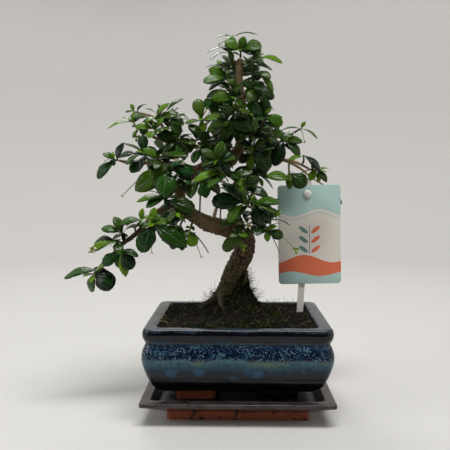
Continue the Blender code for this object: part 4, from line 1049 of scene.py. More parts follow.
YOUNG_LEAF_LENGTH = 15
SHOOTS = (
    ("low_left", 1.00, (-6, -2, -7), 2, 17, (
        (0.6, (-27, -3, -3), 62, 0.50, 0.1), (1.0, (12, -9, 12), 55, 0.50, 0.9),
        (1.0, (14, -10, -6), 10, 0.60, 0), (0.1, (12, -5, -19), 15, 0.80, 0))),
    ("low_left", 0.76, (2, -6, -4), 3, 17, (
        (1.0, (-15, -3, -8), 20, 0.62, 0), (1.0, (9, -6, -11), 20, 0.72, 0),
        (0.8, (4, -6, -18), 55, 0.45, 0.9))),
    ("low_left", 0.72, (-6, -5, 1), 2, 17, (
        (1.0, (-19, -4, -6), 50, 0.50, 0.6), (0.5, (-20, 2, -1), 45, 0.60, 0.1))),
    ("low_left", 0.62, (-6, -2, 4), 3, 17, (
        (1.0, (-14, -2, 4), 50, 0.56, 0.2), (0.6, (12, -6, 8), 62, 0.50, 0.35))),
    ("low_left", 0.50, (6, -5, 10), 3, 12, (
        (1.0, (-18, -2, -2), 52, 0.50, 0.1), (0.9, (-11, -5, -8), 70, 0.50, 0.2),
        (1.0, (1, -3, 9), 40, 0.50, 0.95), (1.0, (5, -6, 7), 40, 0.50, 0.9))),
    ("low_left", 0.38, (5, -9, 0), 1, 18, (
        (1.0, (26, -6, -17), 12, 0.46, 0.15), (1.0, (-5, -8, -17), 8, 0.68, 0),
        (0.7, (-8, -3, -22), 20, 0.62, 0.05), (0.9, (15, -4, 2), 48, 0.56, 0.45),
        (0.9, (2, -5, 12), 35, 0.50, 0.95))),
    ("low_left", 0.18, (1, -7, 7), 3, 17, (
        (1.0, (-22, -3, -1), 62, 0.45, 0.5), (0.9, (-14, -7, -6), 45, 0.56, 0),
        (0.7, (23, -6, -7), 12, 0.55, 0.05))),
    ("mid_left", 1.00, (-4, -1, 1), 1, 11, (
        (0.1, (-17, -3, -13), 42, 0.50, 0), (0.2, (17, -5, 11), 66, 0.45, 0.05),
        (0.4, (14, -8, 6), 52, 0.50, 0.15),
        (0.6, (-8, -6, 5), 40, 0.60, 0.3), (1.0, (-2, -2, 7), 50, 0.50, 0.8))),
    ("mid_left", 0.40, (0, -12, 3), 5, 18, (
        (1.0, (23, -5, 3), 50, 0.36, 0.05), (1.0, (-11, -5, 7), 20, 0.55, 0.4))),
    ("mid_left", 0.33, (1, -12, -4), 3, 18, (
        (1.0, (-25, -5, -17), 6, 0.50, 0.3), (0.9, (20, -4, -3), 28, 0.56, 0.05))),
    ("high_left", 1.00, (-6, -1, 6), 1, 10, (
        (1.0, (-20, -3, -3), 66, 0.50, 0.85), (0.1, (-5, -4, -7), 60, 0.50, 0.8))),
    ("high_left", 0.80, (3, -7, 4), 2, 14, (
        (1.0, (-15, -4, 3), 48, 0.50, 0.5), (1.0, (6, -5, 9), 40, 0.56, 0.7))),
    ("high_left", 0.50, (-3, -9, 3), 8, 19, (
        (1.0, (14, -5, -3), 45, 0.50, 0.45), (1.0, (-14, -5, 4), 15, 0.60, 0),
        (0.8, (-10, -6, -8), 20, 0.60, 0.05))),
    ("high_left", 0.34, (10, -13, 0), 9, 19, ()),
    ("high_left_upper", 1.00, (-4, 0, 1), 0, 10, (
        (1.0, (-2, -2, 6), 40, 0.55, 0.8), (0.8, (-7, -3, 0), 50, 0.50, 0.5),
        (0.3, (16, -5, 4), 66, 0.45, 0.1), (0.2, (16, -8, -6), 50, 0.50, 0.5))),
    ("high_left_upper", 0.55, (0, -5, 3), 2, 13, (
        (1.0, (9, -4, 10), 50, 0.50, 0.8), (1.0, (-8, -5, 6), 62, 0.50, 0.05),
        (0.6, (15, -7, 2), 30, 0.56, 0.2))),
    ("high_left_upper", 0.30, (5, -9, 6), 7, 17, (
        (1.0, (-7, -4, 7), 15, 0.62, 0.05), (1.0, (15, -5, 6), 60, 0.50, 0.5),
        (0.9, (10, -8, -8), 15, 0.60, 0.1))),
    ("left_riser", 1.00, (1, -3, 2), 2, 14, (
        (1.0, (-4, -2, 16), 15, 0.60, 0.55), (0.1, (21, -8, -3), 33, 0.50, 0.6),
        (0.2, (-12, -6, -1), 45, 0.45, 0.6))),
    ("crown_left", 1.00, (-1, -3, -2), 5, 16, (
        (1.0, (-9, -4, -7), 15, 0.70, 0), (0.9, (-2, -6, -14), 20, 0.62, 0.05))),
    ("crown_left", 0.50, (3, -8, 4), 6, 16, ((1.0, (-18, -5, 0), 12, 0.60, 0.35),)),
    ("crown_right", 1.00, (-4, -6, 0), 6, 17, (
        (1.0, (15, -5, -7), 25, 0.56, 0.05), (1.0, (-10, -5, 6), 20, 0.62, 0.05))),
    ("right_high", 1.00, (1, -9, 6), 6, 17, (
        (1.0, (14, -4, -8), 6, 0.65, 0.3), (1.0, (-13, -6, 8), 10, 0.80, 0),
        (1.0, (4, -5, 4), 30, 0.60, 0.85))),
    ("right", 1.00, (6, -3, 3), 0, 9, (
        (0.9, (-16, 3, 1), 78, 0.45, 0.1), (1.0, (3, -2, 6), 30, 0.50, 0.9),
        (1.0, (14, -3, -7), 70, 0.40, 0.3))),
    ("right", 0.80, (4, -11, 1), 4, 17, (
        (1.0, (-9, -5, 8), 25, 0.60, 0.3), (0.9, (-8, -6, -20), 20, 0.55, 0),
        (1.0, (13, -4, -13), 52, 0.50, 0.05))),
    ("right", 0.50, (8, 14, 4), 8, 19, ()),
    ("right_low", 1.00, (6, -1, -1), 1, 12, (
        (1.0, (8, -3, -9), 50, 0.50, 0.1), (0.8, (-6, -4, -8), 30, 0.56, 0.7),
        (1.0, (0, -3, -10), 50, 0.50, 0.8))),
    ("right_low", 0.85, (0, -3, 7), 0, 17, (
        (1.0, (14, -3, -11), 58, 0.62, 0.05), (0.8, (-12, -5, -2), 60, 0.50, 0.6))),
    ("right_low", 0.66, (1, -6, -15), 1, 17, (
        (1.0, (-19, -3, 4), 33, 0.46, 0.5), (0.6, (13, -4, -10), 12, 0.75, 0),
        (0.4, (2, -5, -16), 65, 0.40, 0.4))),
    ("right_low", 0.33, (-1, -12, 6), 6, 18, (
        (1.0, (12, -4, -16), 5, 0.72, 0), (0.8, (-2, -7, -16), 50, 0.50, 0.7),
        (1.0, (8, -5, 8), 30, 0.50, 0.3))),
    ("right_hang", 1.00, (4, 3, -8), 0, 13, (
        (1.0, (10, 1, -6), 50, 0.50, 0.2), (0.8, (-11, 5, -8), 30, 0.56, 0.1),
        (0.6, (3, 13, -9), 60, 0.56, 0.1),
        (0.5, (-4, -3, -14), 20, 0.56, 0.1))),
    ("back_mid", 1.00, (4, 9, 0), 10, 20, ()),
    ("back_left", 1.00, (-6, 8, 2), 10, 20, ()),
    ("back_low", 1.00, (4, 9, 3), 10, 20, ()),
    ("front_mid", 1.00, (-1, -5, 3), 3, 18, ((1.0, (-21, -3, -4), 60, 0.50, 0.8),)),
    ("front_mid", 0.66, (-6, -10, 7), 6, 18, (
        (1.0, (11, -3, -19), 50, 0.50, 0.05), (1.0, (-12, -3, 8), 20, 0.60, 0.1),
        (0.9, (3, -5, 14), 20, 0.60, 0.3))),
    ("front_high", 1.00, (-2, -5, 0), 5, 18, (
        (1.0, (18, -4, -6), 10, 0.62, 0.1), (1.0, (-14, -4, -5), 15, 0.60, 0.05))),
    ("front_low", 1.00, (1, -4, 8), 1, 16, ((1.0, (-2, -6, -19), 5, 0.95, 0),)),
    ("centre_rise", 1.00, (-6, -8, 14), 3, 17, (
        (1.0, (11, -3, 6), 20, 0.62, 0), (1.0, (11, -6, -1), 50, 0.60, 0.5),
        (0.7, (18, -4, -5), 42, 0.50, 0.05))),
    ("centre_rise", 0.80, (-6, -12, 4), 3, 17, (
        (1.0, (-25, -2, 2), 10, 0.58, 0), (0.9, (-16, -8, 16), 50, 0.45, 0),
        (1.0, (-13, -3, -14), 40, 0.50, 0.6))),
    ("centre_rise", 0.60, (0, -12, 10), 3, 17, (
        (1.0, (20, -2, 2), 50, 0.50, 0.15), (1.0, (19, -8, -1), 64, 0.50, 0.35),
        (0.9, (15, -6, -13), 8, 0.80, 0))),
    ("centre_right", 1.00, (3, -3, -1), 2, 13, (
        (1.0, (12, -4, -4), 12, 0.65, 0), (0.4, (8, -7, 4), 40, 0.50, 0.8),
        (0.9, (0, -5, -8), 30, 0.60, 0.6))),
    ("trunk", 0.310, (-1, -10, 0), 2, 15, (
        (1.0, (-11, -4, -12), 10, 0.60, 0.35), (0.8, (-15, -7, -6), 35, 0.56, 0.5))),
    ("trunk", 0.420, (-2, -13, -9), 1, 12, (
        (1.0, (4, -4, -10), 8, 0.85, 0.75), (0.9, (-7, -3, -6), 30, 0.56, 0.2))),
    ("trunk", 0.740, (-11, 8, 6), 9, 19, ()),
    ("trunk", 0.785, (6, -13, 0), 9, 19, ()),
    ("trunk", 0.815, (10, 9, 4), 9, 19, ()),
    ("trunk", 0.915, (-8, -7, 2), 2, 16, (
        (1.0, (-14, -3, 7), 10, 0.62, 0.3), (1.0, (-23, -4, 2), 38, 0.50, 0.2),
        (0.8, (-16, -5, -8), 70, 0.50, 0.05))),
    ("trunk", 0.935, (12, -6, 2), 5, 16, (
        (1.0, (14, -4, -16), 60, 0.36, 0.3), (0.9, (11, -7, -6), 30, 0.60, 0.2))),
    ("trunk", 0.960, (12, -4, 8), 2, 14, (
        (1.0, (20, -3, -3), 45, 0.40, 0.8), (0.6, (8, -6, -10), 20, 0.60, 0.2))),
    ("trunk", 0.975, (-7, -4, 12), 1, 14, (
        (1.0, (-17, -3, -2), 66, 0.50, 0.15), (0.8, (-15, -7, -5), 70, 0.45, 0.15))),
    ("trunk", 0.985, (-4, 4, 23), 0, 14, (
        (1.0, (20, 2, 5), 68, 0.40, 0.1), (1.0, (-14, 2, 2), 62, 0.40, 0.15))),
    ("trunk", 1.000, (0, -3, 7), 2, 14, (
        (1.0, (-12, -5, 5), 15, 0.80, 0.5), (1.0, (3, -4, 9), 20, 0.75, 0.4),
        (0.9, (17, -3, 3), 10, 0.70, 0.2), (0.7, (13, -9, -1), 30, 0.60, 0))),
)
MORE_LEAVES = 5
MORE_LEAF_SHARE = 0.8
TIP_LEAVES = 3
TIP_LEAF_LENGTH = (7.0, 11.0)
LEAF_ROWS = (0.0, 0.07, 0.17, 0.30, 0.44, 0.58, 0.70, 0.78, 0.84, 0.90, 0.95, 1.0)
NOTCHED_ROWS = (0.78, 0.90)
PETIOLE_SHARE = 0.06
FINE_LEAF_GROWTH = 1.04
FINE_LEAF_WIDTH = (0.90, 1.06)
LEAF_COLUMNS = (-1.0, -0.5, 0.0, 0.5, 1.0)
BLADE_THICKNESS = 0.018
SIDE_VEINS = (7.0, -3.4)
LEAF_DOT_SPACING = 1.4
LEAF_MOTTLE = 3.5
LEAF_PEBBLE = 2.2
STEM_MOTTLE = 1.2
OLD_LEAF_TONES = ((0.0, "010F02"), (0.5, "042203"), (1.0, "0B3E06"))
YOUNG_LEAF = "628A10"
UNDER_LEAF = "36502C"
VEIN_TONE = "2E5A22"
LEAF_DOTS = "B7C79A"
STEM_TONES = ((0.0, "4A3B22"), (0.6, "5A6A2A"), (1.0, "7C9A3A"))
LEAF_FORMS = (
    (0.64, 0.50, 0.00, 0.00, 0.06), (0.60, 0.55, 0.05, 0.06, 0.00), (0.66, 0.45, -0.06, -0.05, 0.10),
    (0.56, 0.80, 0.10, -0.08, 0.00), (0.54, 0.75, 0.03, 0.10, 0.00), (0.65, 0.48, -0.04, 0.03, 0.08),
    (0.62, 0.60, 0.12, 0.05, 0.04), (0.58, 0.70, -0.10, -0.03, 0.00),
)
MORE_SHOOTS = (
    ("trunk", 0.44, (-5, -10, -13), 6, 20), ("low_left", 0.12, (3, -13, -5), 6, 21),
    ("low_left", 0.20, (8, -9, -16), 5, 20), ("trunk", 0.58, (12, -13, -4), 6, 20),
    ("front_mid", 0.55, (-11, -6, -10), 6, 20), ("front_mid", 0.80, (9, -6, -8), 6, 20),
    ("centre_rise", 0.75, (9, -6, -2), 6, 20), ("centre_rise", 0.30, (-9, -9, 4), 6, 19),
    ("centre_right", 0.60, (5, -8, 8), 6, 19), ("centre_right", 0.90, (7, 6, 8), 6, 18),
    ("right_high", 0.60, (9, -10, -7), 6, 20), ("right_high", 0.80, (9, 8, 2), 6, 19),
    ("trunk", 0.800, (15, -8, -3), 6, 20), ("trunk", 0.755, (15, -7, -6), 6, 20),
    ("right", 0.35, (5, -13, 4), 6, 20), ("right", 0.60, (2, -11, 10), 6, 19),
    ("right", 0.85, (-3, -10, -8), 6, 17), ("right_low", 0.30, (4, -10, -14), 6, 20),
    ("trunk", 0.830, (-2, -15, 3), 6, 20), ("front_high", 0.60, (8, -8, 5), 6, 19),
    ("front_high", 0.40, (-9, -6, -3), 6, 19), ("high_left_upper", 0.80, (6, -9, -6), 6, 17),
    ("high_left_upper", 0.65, (12, 4, 4), 6, 18), ("high_left", 0.72, (9, -7, 9), 6, 19),
    ("high_left", 0.20, (4, -13, -9), 6, 20), ("mid_left", 0.22, (-3, -12, -12), 6, 20),
    ("mid_left", 0.50, (-2, -12, 6), 6, 19), ("trunk", 0.955, (-11, 5, 3), 6, 18),
    ("trunk", 0.975, (9, -8, 3), 5, 17), ("trunk", 0.905, (11, 8, 2), 6, 18),
    ("trunk", 0.860, (12, -10, -3), 6, 20), ("trunk", 0.715, (-9, -13, 2), 6, 20),
    ("trunk", 0.840, (-12, 4, 2), 6, 20), ("trunk", 0.870, (10, 8, 4), 6, 20),
    ("trunk", 0.890, (-8, 10, 4), 6, 20), ("trunk", 0.930, (0, 12, 6), 6, 19),
    ("trunk", 0.945, (-9, 8, 4), 6, 18), ("trunk", 0.965, (10, 8, 4), 6, 17),
    ("left_riser", 0.50, (-10, -8, -4), 6, 19), ("high_left", 0.28, (-4, -12, 6), 6, 20),
)


def along(path, place):
    """The point and the direction at a place from 0 to 1 on a path."""
    spot = place * (len(path) - 1)
    index = min(int(spot), len(path) - 2)
    point = path[index].lerp(path[index + 1], spot - index)
    return point, (path[index + 1].to_3d() - path[index].to_3d()).normalized()


def leaf_axes(direction, light, roll):
    """A leaf's three directions: along it, across it, and out of its upper face."""
    ahead = direction.normalized()
    face = light - ahead * light.dot(ahead)
    if face.length < 0.05:
        face = ahead.orthogonal()
    face = Matrix.Rotation(roll, 3, ahead) @ face.normalized()
    return ahead, ahead.cross(face), face


def leaf_blade(base, axes, length, width, start=0.0, extra=0.0):
    """A closed obovate blade: pointed root, widest past its middle, blunt tip, folded and arched.

    With a start above 0 it is cut short at its root, and extra makes it thicker and wider."""
    ahead, across, face = axes
    half_width = length * width / 2
    half_thick = LEAF_THICKNESS / 2 + extra

    def spot(s, w, side):
        arch = LEAF_ARCH * length * math.sin(math.pi * s) - LEAF_DROOP * length * s * s
        fold = LEAF_FOLD * abs(w) * half_width
        place = base + ahead * (length * s) + across * (w * (half_width + extra))
        return place + face * (arch + fold + side * half_thick)

    side_rows = [row for row in LEAF_OUTLINE if row[0] > start]
    if start > 0:
        side_rows.insert(0, (start, LEAF_OUTLINE[0][1]))
    around = side_rows + [(1.0, 0.0)] + [(s, -w) for s, w in reversed(side_rows)]
    rows = around + [(LEAF_MIDDLE, 0.0)] + ([(0.0, 0.0)] if start == 0 else [])
    points = [spot(s, w, side) for side in (1, -1) for s, w in rows]
    count, middle, root, under = len(around), len(around), len(around) + 1, len(rows)
    faces = []
    for k in range(count):
        after = (k + 1) % count
        faces.append((after, k, middle))
        faces.append((under + k, under + after, under + middle))
    edge = list(range(count))
    if start == 0:
        faces.append((0, root, count - 1))
        faces.append((under, under + count - 1, under + root))
        edge.append(root)
    for k, after in zip(edge, edge[1:] + edge[:1]):
        faces.append((k, after, under + after, under + k))
    return points, faces


def extent(points):
    """The middle of some points, and how far the farthest of them is from it."""
    middle = sum(points, Vector()) / len(points)
    return middle, max((point - middle).length for point in points)


class Space:
    """Shapes already placed, with their owners, against which each new leaf is tried."""

    def __init__(self):
        self.taken = []
        self.views = []

    def take(self, owner, shape, own_shape=None):
        points, faces = shape
        middle, reach = extent(points)
        own = own_shape and BVHTree.FromPolygons(*own_shape)
        self.taken.append((owner, middle, reach, BVHTree.FromPolygons(points, faces), own))

    def keep_clear(self, blade):
        """Keeps the leaves of the spiral rule from coming between this blade and the eye."""
        points, faces = blade
        half = len(points) // 2
        heart = sum(points, Vector()) / len(points)
        core = [heart.lerp(point, CLEAR_CORE) for point in points[:half]]
        near = [point.lerp(Vector(EYE), CLEAR_SHARE) for point in core]
        walls = [(a, b, half + b, half + a) for face in faces if max(face) < half
                 for a, b in zip(face, face[1:] + face[:1])]
        middle = heart.lerp(Vector(EYE), CLEAR_SHARE / 2)
        reach = max((point - middle).length for point in core + near)
        self.views.append((middle, reach, BVHTree.FromPolygons(core + near, walls)))

    def is_free(self, owner, shape, own_shape, aimed):
        points, faces = shape
        middle, reach = extent(points)
        whole = BVHTree.FromPolygons(points, faces)
        outer = BVHTree.FromPolygons(*own_shape)
        for other, centre, size, tree, own in self.taken:
            if (centre - middle).length > reach + size:
                continue
            if other != owner and whole.overlap(tree):
                return False
            if other == owner and own and outer.overlap(own):
                return False
        return aimed or not any((centre - middle).length < reach + size and whole.overlap(tree)
                                for centre, size, tree in self.views)


def shoot_path(row):
    """A shoot's stem: it leaves the wood square to its surface, then bends to its tip."""
    limb, place, reach = row[0], row[1], Vector(row[2])
    point, ahead = along(limb_path(limb), place)
    root = point.to_3d()
    out = ahead if place == 1.0 else (reach - ahead * reach.dot(ahead)).normalized()
    start = root + out * (STEM_GAP if place == 1.0 else point.w + STEM_GAP)
    tip = root + reach + out * (0 if place == 1.0 else point.w)
    bend = start + out * (tip - start).length * SHOOT_BEND
    first, last = SHOOT_RADIUS
    path = []
    for step in range(4):
        u = step / 3
        spot = start * (1 - u) ** 2 + bend * 2 * u * (1 - u) + tip * u * u
        path.append(Vector((*spot, min(first, point.w) * (1 - u) + last * u)))
    return path


def grow_leaf(owner, space, base, reach, light, width, draw, aimed=False):
    """The first try of a leaf that touches nothing else, turned a little more each time, or nothing."""
    most_roll = AIMED_ROLL_DRAW if aimed else ROLL_DRAW
    for attempt in range(LEAF_TRIES):
        slack = TURN_PER_TRY * attempt
        turn = Vector([draw.uniform(-slack, slack) for _ in range(3)])
        roll = draw.uniform(-most_roll, most_roll) * (1 + slack)
        axes = leaf_axes(reach.normalized() + turn, light, roll)
        length = reach.length * (1 - SHRINK_PER_TRY * attempt)
        root = base - axes[0] * LEAF_ROOT_DEPTH
        guard = leaf_blade(root, axes, length, width, 0.0, LEAF_SPACE)
        outer = leaf_blade(root, axes, length, width, OWN_LEAF_START, OWN_LEAF_SPACE)
        if space.is_free(owner, guard, outer, aimed):
            space.take(owner, guard, outer)
            if aimed:
                space.keep_clear(leaf_blade(root, axes, length, width))
            return root, axes, length, width
    return None


def aimed_leaves(row, owner, space):
    """The leaves of one shoot that are aimed one by one, each with its age from 0, old, to 1, new."""
    draw = random.Random(owner + " aimed")
    path = shoot_path(row)
    leaves = []
    for place, reach, tilt, width, youth in row[5]:
        base = along(path, min(place, LAST_LEAF_PLACE))[0].to_3d()
        light = Vector((0, -math.cos(math.radians(tilt)), math.sin(math.radians(tilt))))
        leaf = grow_leaf(owner, space, base, Vector(reach), light, width, draw, aimed=True)
        if leaf:
            leaves.append((*leaf, youth))
    return leaves


def spiral_leaves(row, owner, space):
    """The leaves of one shoot that the spiral rule places, each with its age."""
    count, size = row[3:5]
    draw = random.Random(owner)
    path = shoot_path(row)
    leaves = []
    for index in range(count):
        place = LAST_LEAF_PLACE - LEAFY_SHARE * (count - 1 - index) / count
        point, ahead = along(path, place)
        angle = GOLDEN_ANGLE * index + draw.uniform(-ANGLE_DRAW, ANGLE_DRAW)
        side = Matrix.Rotation(angle, 3, ahead) @ ahead.orthogonal().normalized()
        spread = LEAF_SPREAD[0] - LEAF_SPREAD[1] * place
        direction = ahead * math.cos(spread) + side * math.sin(spread) - Vector((0, 0, LEAF_SAG))
        light = Vector(LIGHT_ON_FRONT if point.y < BACK_STARTS_AT_Y else LIGHT_ON_BACK)
        reach = direction.normalized() * size * draw.uniform(*LEAF_SIZE_DRAW)
        leaf = grow_leaf(owner, space, point.to_3d(), reach, light, LEAF_WIDTH, draw)
        if leaf:
            leaves.append((*leaf, 0.55 if size <= YOUNG_LEAF_LENGTH else 0.1))
    return leaves


def more_leaves_of(row, owner, space):
    """Leaves beyond those of the solid: smaller ones in the gaps, and the newest ones at the tip."""
    draw = random.Random(owner + " more")
    path = shoot_path(row)
    leaves = []
    for index in range(MORE_LEAVES):
        place = draw.uniform(0.15, LAST_LEAF_PLACE)
        point, ahead = along(path, place)
        side = Matrix.Rotation(draw.uniform(0, 2 * math.pi), 3, ahead) @ ahead.orthogonal().normalized()
        spread = draw.uniform(0.6, 1.35)
        direction = ahead * math.cos(spread) + side * math.sin(spread)
        light = Vector(LIGHT_ON_FRONT if point.y < BACK_STARTS_AT_Y else LIGHT_ON_BACK)
        reach = direction.normalized() * row[4] * draw.uniform(0.5, 0.95) * MORE_LEAF_SHARE
        leaf = grow_leaf(owner, space, point.to_3d(), reach, light, LEAF_WIDTH, draw)
        if leaf:
            leaves.append((*leaf, draw.uniform(0.0, 0.5)))
    for index in range(TIP_LEAVES):
        point, ahead = along(path, 1.0)
        side = Matrix.Rotation(GOLDEN_ANGLE * index, 3, ahead) @ ahead.orthogonal().normalized()
        direction = ahead + side * draw.uniform(0.3, 0.8) + Vector((0, 0, 0.25))
        reach = direction.normalized() * draw.uniform(*TIP_LEAF_LENGTH)
        leaf = grow_leaf(owner, space, point.to_3d(), reach, Vector(LIGHT_ON_FRONT), LEAF_WIDTH, draw)
        if leaf:
            leaves.append((*leaf, draw.uniform(0.8, 1.0)))
    return leaves


def leaf_form(peak, blunt, curl, twist, teeth):
    """A fine blade of unit length with the same arch and fold as the solid's, its margin turned down.
    It is widest at the peak, and teeth is how deep its notches are."""
    points, places = [], []
    skew = math.log(0.5) / math.log(peak)
    for side in (1, -1):
        for s in LEAF_ROWS:
            wide = max(0.0, math.sin(math.pi * s ** skew)) ** (0.85 if s < peak else blunt)
            wide = max(wide, PETIOLE_SHARE * (1.2 - s)) * (1 - teeth * (s in NOTCHED_ROWS))
            for column in LEAF_COLUMNS:
                if side == -1 and abs(column) == 1.0:
                    continue
                y = column * wide * LEAF_WIDTH / 2
                swell = 1.5 * abs(column) - (1.3 + 4 * curl) * column ** 2
                z = LEAF_ARCH * math.sin(math.pi * s) - LEAF_DROOP * s * s
                z += LEAF_FOLD * swell * wide * LEAF_WIDTH / 2 + twist * y * s
                z += 0.006 * math.sin(21 * s) * abs(column)
                if abs(column) < 1.0:
                    z += side * BLADE_THICKNESS / 2
                points.append((s * 1000, y * 1000, z * 1000))
                places.append((column * wide, s, side))
    rows, columns = len(LEAF_ROWS), len(LEAF_COLUMNS)
    upper = [[r * columns + c for c in range(columns)] for r in range(rows)]
    first = rows * columns
    lower = []
    for r in range(rows):
        inner = [first + r * (columns - 2) + c for c in range(columns - 2)]
        lower.append([upper[r][0]] + inner + [upper[r][-1]])
    faces, sides = [], []
    for r in range(rows - 1):
        for c in range(columns - 1):
            faces.append((upper[r][c], upper[r + 1][c], upper[r + 1][c + 1], upper[r][c + 1]))
            faces.append((lower[r][c], lower[r][c + 1], lower[r + 1][c + 1], lower[r + 1][c]))
            sides += [1.0, 0.0]
    root_row, tip_row = list(range(columns - 2, 0, -1)), list(range(1, columns - 1))
    faces.append(tuple(upper[0] + [lower[0][c] for c in root_row]))
    faces.append(tuple(upper[-1][::-1] + [lower[-1][c] for c in tip_row]))
    sides += [1.0, 1.0]
    form = new_piece("leaf form", points, faces)
    form.data.flip_normals()
    give_values(form, "blade", places, "FLOAT_VECTOR")
    give_values(form, "upper", sides, "FLOAT", "FACE")
    return form


def make_leaf_skin():
    # A leathery leaf: dark, waxy and glossy above with pale sunken veins, paler and duller beneath, and
    # yellow-green when young. Its pale dots are finer on a real leaf and are drawn coarse enough to show.
    skin, node, place = new_material("leaf")
    upper, youth, tone = (node("Attribute", output="Fac", attribute_name=name)
                          for name in ("upper", "youth", "tone"))
    blade = node("Attribute", output="Vector", attribute_name="blade")
    from_rib = node("Math", {0: node("SeparateXYZ", {0: blade}, "X")}, operation="ABSOLUTE")
    rib = node("MapRange", {0: from_rib, 1: 0.09, 2: 0.03})
    phase = node("Math", {0: from_rib, 1: SIDE_VEINS[1]}, operation="MULTIPLY")
    phase = node("Math", {0: node("SeparateXYZ", {0: blade}, "Y"), 1: SIDE_VEINS[0], 2: phase},
                 operation="MULTIPLY_ADD")
    wave = node("Math", {0: phase, 1: 0.5}, operation="PINGPONG")
    side_veins = node("MapRange", {0: wave, 1: 0.12, 2: 0.0, 4: 0.6})
    veins = node("Math", {0: rib, 1: side_veins}, operation="MAXIMUM")
    vein_share = node("Math", {0: veins, 1: 0.35}, operation="MULTIPLY")
    dots = node("TexVoronoi", {"Vector": place, "Scale": 1 / LEAF_DOT_SPACING}, "Distance")
    dots = node("MapRange", {0: dots, 1: 0.18, 2: 0.10, 4: 0.22})
    mottle = node("TexNoise", {"Vector": place, "Scale": 1 / LEAF_MOTTLE, "Detail": 3})
    level = node("Math", {0: mottle, 1: 0.5, 2: tone}, operation="MULTIPLY_ADD")
    level = node("Math", {0: level, 1: 0.25}, operation="SUBTRACT")
    green = node("ValToRGB", {0: level}, stops=OLD_LEAF_TONES)
    for share, colour in ((youth, YOUNG_LEAF), (vein_share, VEIN_TONE), (dots, LEAF_DOTS)):
        green = node("Mix", {0: share, 6: green, 7: linear(colour)}, 2, data_type="RGBA")
    under = node("Mix", {0: youth, 6: linear(UNDER_LEAF), 7: linear(YOUNG_LEAF)}, 2, data_type="RGBA")
    both = node("Mix", {0: upper, 6: under, 7: green}, 2, data_type="RGBA")
    gloss = node("MapRange", {0: upper, 3: 0.5, 4: 0.13})
    relief = node("TexNoise", {"Vector": place, "Scale": 1 / LEAF_PEBBLE, "Detail": 2})
    for share, rise in ((veins, -0.7), (dots, 0.6)):
        relief = node("Math", {0: share, 1: rise, 2: relief}, operation="MULTIPLY_ADD")
    bump = node("Bump", {"Height": relief, "Strength": 0.7, "Distance": 0.0005})
    return finish(skin, IOR=1.48, Specular_IOR_Level=0.34, Base_Color=both, Roughness=gloss, Normal=bump)


def make_stem_skin():
    # Young twig bark: smooth and half matt, woody brown at the root and fresh green at the tip.
    skin, node, place = new_material("green twig bark")
    mottle = node("TexNoise", {"Vector": place, "Scale": 1 / STEM_MOTTLE, "Detail": 4})
    age = node("Attribute", output="Fac", attribute_name="youth")
    level = node("Math", {0: mottle, 1: 0.4, 2: age}, operation="MULTIPLY_ADD")
    tone = node("ValToRGB", {0: node("Math", {0: level, 1: 0.2}, operation="SUBTRACT")}, stops=STEM_TONES)
    return finish(skin, Roughness=0.55, IOR=1.45, Base_Color=tone)


def make_shoot_tree():
    """Sets leaves on a shoot's points, as their attributes say, and a round stem along its edges."""
    tree, node, given = new_growth_tree(
        "leafy shoot", {"Stem sides": 7},
        {"Forms": "Collection", "Leaf finish": "Material", "Stem finish": "Material"})
    own = {name: node("InputNamedAttribute", {"Name": name}, data_type=kind) for name, kind in (
        ("is leaf", "FLOAT"), ("turn", "QUATERNION"), ("size", "FLOAT_VECTOR"), ("form", "INT"),
        ("girth", "FLOAT"))}
    parted = node("SeparateGeometry", {0: given["Geometry"], 1: own["is leaf"]}, None).outputs
    placed = node("InstanceOnPoints", {
        "Points": parted[0], "Instance": node("CollectionInfo", {0: given["Forms"], 1: True, 2: True}),
        "Pick Instance": True, "Instance Index": own["form"], "Rotation": own["turn"], "Scale": own["size"]})
    leaves = node("SetMaterial", {0: node("RealizeInstances", {0: placed}), 2: given["Leaf finish"]})
    ring = node("CurvePrimitiveCircle", {"Resolution": given["Stem sides"], "Radius": 1.0})
    stem = node("CurveToMesh", {0: node("MeshToCurve", {0: parted[1]}), 1: ring, "Scale": own["girth"],
                                "Fill Caps": True})
    stem = node("SetMaterial", {0: stem, 2: given["Stem finish"]})
    both = node("JoinGeometry", output=None)
    for part in (leaves, stem):
        tree.links.new(part, both.inputs[0])
    node("GroupOutput", {0: both.outputs[0]}, None)
    return tree


def shoot_points(name, stem, leaves, draw):
    """A mesh of a stem's line and its leaves' roots, with what each leaf needs as attributes."""
    points = [Vector(p[:3]) * MM for p in stem] + [leaf[0] * MM for leaf in leaves]
    edges = [(k, k + 1) for k in range(len(stem) - 1)]
    mesh = bpy.data.meshes.new(name)
    mesh.from_pydata(points, edges, [])
    piece = bpy.data.objects.new(name, mesh)
    bpy.context.scene.collection.objects.link(piece)
    count = len(stem)
    turns, sizes, forms, tones, youths = [], [], [], [], []
    for root, (ahead, across, face), size, width, youth in leaves:
        turns.append(Matrix((ahead, face.cross(ahead), face)).transposed().to_quaternion())
        size *= FINE_LEAF_GROWTH * MM
        sizes.append((size, size * width / LEAF_WIDTH * draw.uniform(*FINE_LEAF_WIDTH), size))
        forms.append(draw.randrange(len(LEAF_FORMS)))
        tones.append(draw.random())
        youths.append(min(1.0, max(0.0, youth + draw.uniform(-0.1, 0.15))))
    give_values(piece, "is leaf", [0.0] * count + [1.0] * len(leaves))
    give_values(piece, "turn", [(1, 0, 0, 0)] * count + turns, "QUATERNION")
    give_values(piece, "size", [(1, 1, 1)] * count + sizes, "FLOAT_VECTOR")
    give_values(piece, "form", [0] * count + forms, "INT")
    give_values(piece, "tone", [0.5] * count + tones)
    give_values(piece, "youth", [k / count for k in range(count)] + youths)
    give_values(piece, "girth", [p[3] * MM for p in stem] + [0.0] * len(leaves))
    return piece


